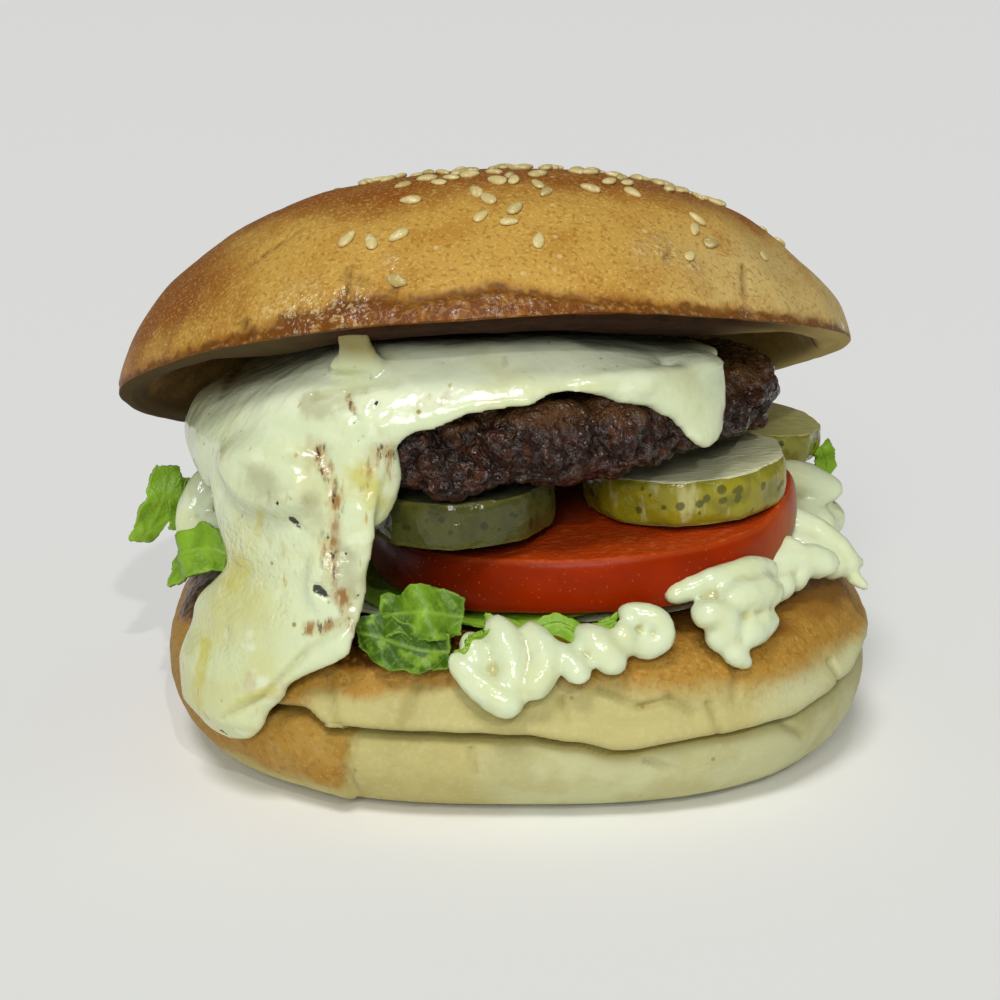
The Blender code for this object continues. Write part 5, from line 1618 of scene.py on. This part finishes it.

# Copies of one gherkin finish: the front right slice brightened as painted light, the front left one darker and greyer
# as painted shade
lit = pickled_gherkin("sliced gherkin", "#dedeb4", "#8e8618", "#4c4c10", "#c2c396")
shaded = pickled_gherkin("grey gherkin", "#4c4f2e", "#494a20", "#2f3214", "#383a1e")
olive = pickled_gherkin("olive gherkin", "#ccc874", "#86822a", "#3c3c0a", "#a8a450")
for seed, (name, finish) in enumerate({"pickle_front_right": lit, "pickle_front_left": shaded,
                                       "pickle_back_right": olive, "pickle_back_left": olive}.items()):
    hand_over(make_pickle(name, 80 + 5 * seed), name, finish)

green = torn_lettuce()
# Each leaf: spine, width, ruffle, lean, random seed and its amount of painted shade
LEAVES = {
    "lettuce_front": ((((-19.6, -49.6, 30.2), (-16.0, -51.4, 31.6), (-12.0, -51.8, 31.6), (-8.4, -50.4, 30.6)),
                       7.2, 0.7, (0.0, 0.42, 0.9), 1, 0.75),
                      (((-23.0, -49.8, 28.4), (-19.0, -51.8, 27.8), (-14.0, -53.0, 26.6), (-10.0, -53.0, 26.4)),
                       6.6, 0.6, (0.0, 0.30, 0.95), 12, 1.4)),
    "lettuce_small": ((((-8.6, -52.5, 25.4), (-6.8, -53.3, 27.6), (-5.2, -52.8, 29.6)),
                       4.5, 0.4, (0.8, 0.5, 0.3), 5, 0.3),),
    "lettuce_shred": ((((-5.0, -50.0, 29.8), (0.0, -51.6, 28.6), (5.0, -50.6, 29.6), (9.0, -51.0, 28.2),
                        (13.5, -49.0, 29.4)), 3.4, 0.5, (0.0, 0.6, 0.8), 6, 0.2),),
    "lettuce_left": ((((-56.6, -2.0, 41.2), (-57.0, -3.0, 37.6), (-58.2, -3.0, 33.8), (-61.4, -2.0, 28.8)),
                      5.6, 0.3, (0.95, 0.3, -0.1), 2, -0.2),
                     (((-53.6, -2.0, 39.2), (-54.4, -3.4, 35.4), (-55.0, -3.4, 31.0)), 3.6, 0.3, (0.95, 0.3, -0.1), 3, 0.4)),
    "lettuce_left_low": ((((-53.5, -19.0, 28.6), (-51.5, -21.0, 31.5), (-48.0, -22.5, 33.0), (-44.5, -24.0, 32.5)),
                          8.0, 0.6, (0.0, 0.6, 0.8), 3, 0.4),),
    "lettuce_right": ((((48.5, 2.0, 35.5), (50.0, 4.0, 38.0), (50.5, 6.0, 40.5), (50.0, 8.0, 42.0)),
                       5.0, 0.5, (0.6, 0.5, 0.3), 4, 0.1),),
}
for name, sheets in LEAVES.items():
    for number, (spine, width, ruffle, lean, seed, depth) in enumerate(sheets):
        hand_over(leaf(name + "_leaf_" + str(number), spine, width, ruffle, lean, seed, depth),
                  name, green)
layer = shaped_ball("lettuce_layer_leaf", 200, 30, bed_leaf_shape)
hand_over(layer, "lettuce_layer", green)

sauce = piped_mayonnaise()
hand_over(make_mayonnaise(), "mayonnaise", sauce)
hand_over(make_left_mayonnaise(), "mayonnaise_left", sauce)


# ---------------------------------------------------------------- floor, light and camera

def studio_floor():
    half = 12.0
    mesh = bpy.data.meshes.new("studio_floor")
    corners = [(-half, -half, 0.0), (half, -half, 0.0), (half, half, 0.0), (-half, half, 0.0)]
    mesh.from_pydata(corners, [], [(0, 1, 2, 3)])
    floor = bpy.data.objects.new("studio_floor", mesh)
    bpy.context.scene.collection.objects.link(floor)
    paper = bpy.data.materials.new("white studio paper")
    paper.use_nodes = True
    shader = paper.node_tree.nodes["Principled BSDF"]
    shader.inputs["Base Color"].default_value = linear("#f8f8f6")
    shader.inputs["Roughness"].default_value = 0.9
    mesh.materials.append(paper)


def studio_sun(name, azimuth, elevation, strength, spread):
    """Light that comes from the given azimuth (0 is the front, positive to the right) and elevation."""
    light = bpy.data.lights.new(name, "SUN")
    light.energy = strength
    light.angle = radians(spread)
    lamp = bpy.data.objects.new(name, light)
    lamp.rotation_euler = (radians(90.0 - elevation), 0.0, radians(azimuth))
    bpy.context.scene.collection.objects.link(lamp)


def studio_camera():
    """At the height of a diner's eye, looking down a little at the open front."""
    camera = bpy.data.cameras.new("camera")
    camera.lens = 77.6
    camera.sensor_width = 36.0
    camera.clip_start = 0.01
    camera.clip_end = 100.0
    holder = bpy.data.objects.new("camera", camera)
    holder.location = Vector((-3.0, -340.0, 120.0)) * MM
    holder.rotation_euler = (radians(90.0 - 14.035), 0.0, 0.0)
    bpy.context.scene.collection.objects.link(holder)
    bpy.context.scene.camera = holder


studio_floor()
studio_sun("key", -14.0, 58.0, 1.35, 16.0)
studio_sun("front", -8.0, 24.0, 1.22, 18.0)
studio_sun("sparkle", 12.0, 34.0, 0.5, 1.2)
world = bpy.data.worlds.new("studio")
world.use_nodes = True
world.node_tree.nodes["Background"].inputs["Color"].default_value = linear("#f4f6f2")
world.node_tree.nodes["Background"].inputs["Strength"].default_value = 0.17
bpy.context.scene.world = world
bpy.context.scene.view_settings.view_transform = "Standard"
studio_camera()
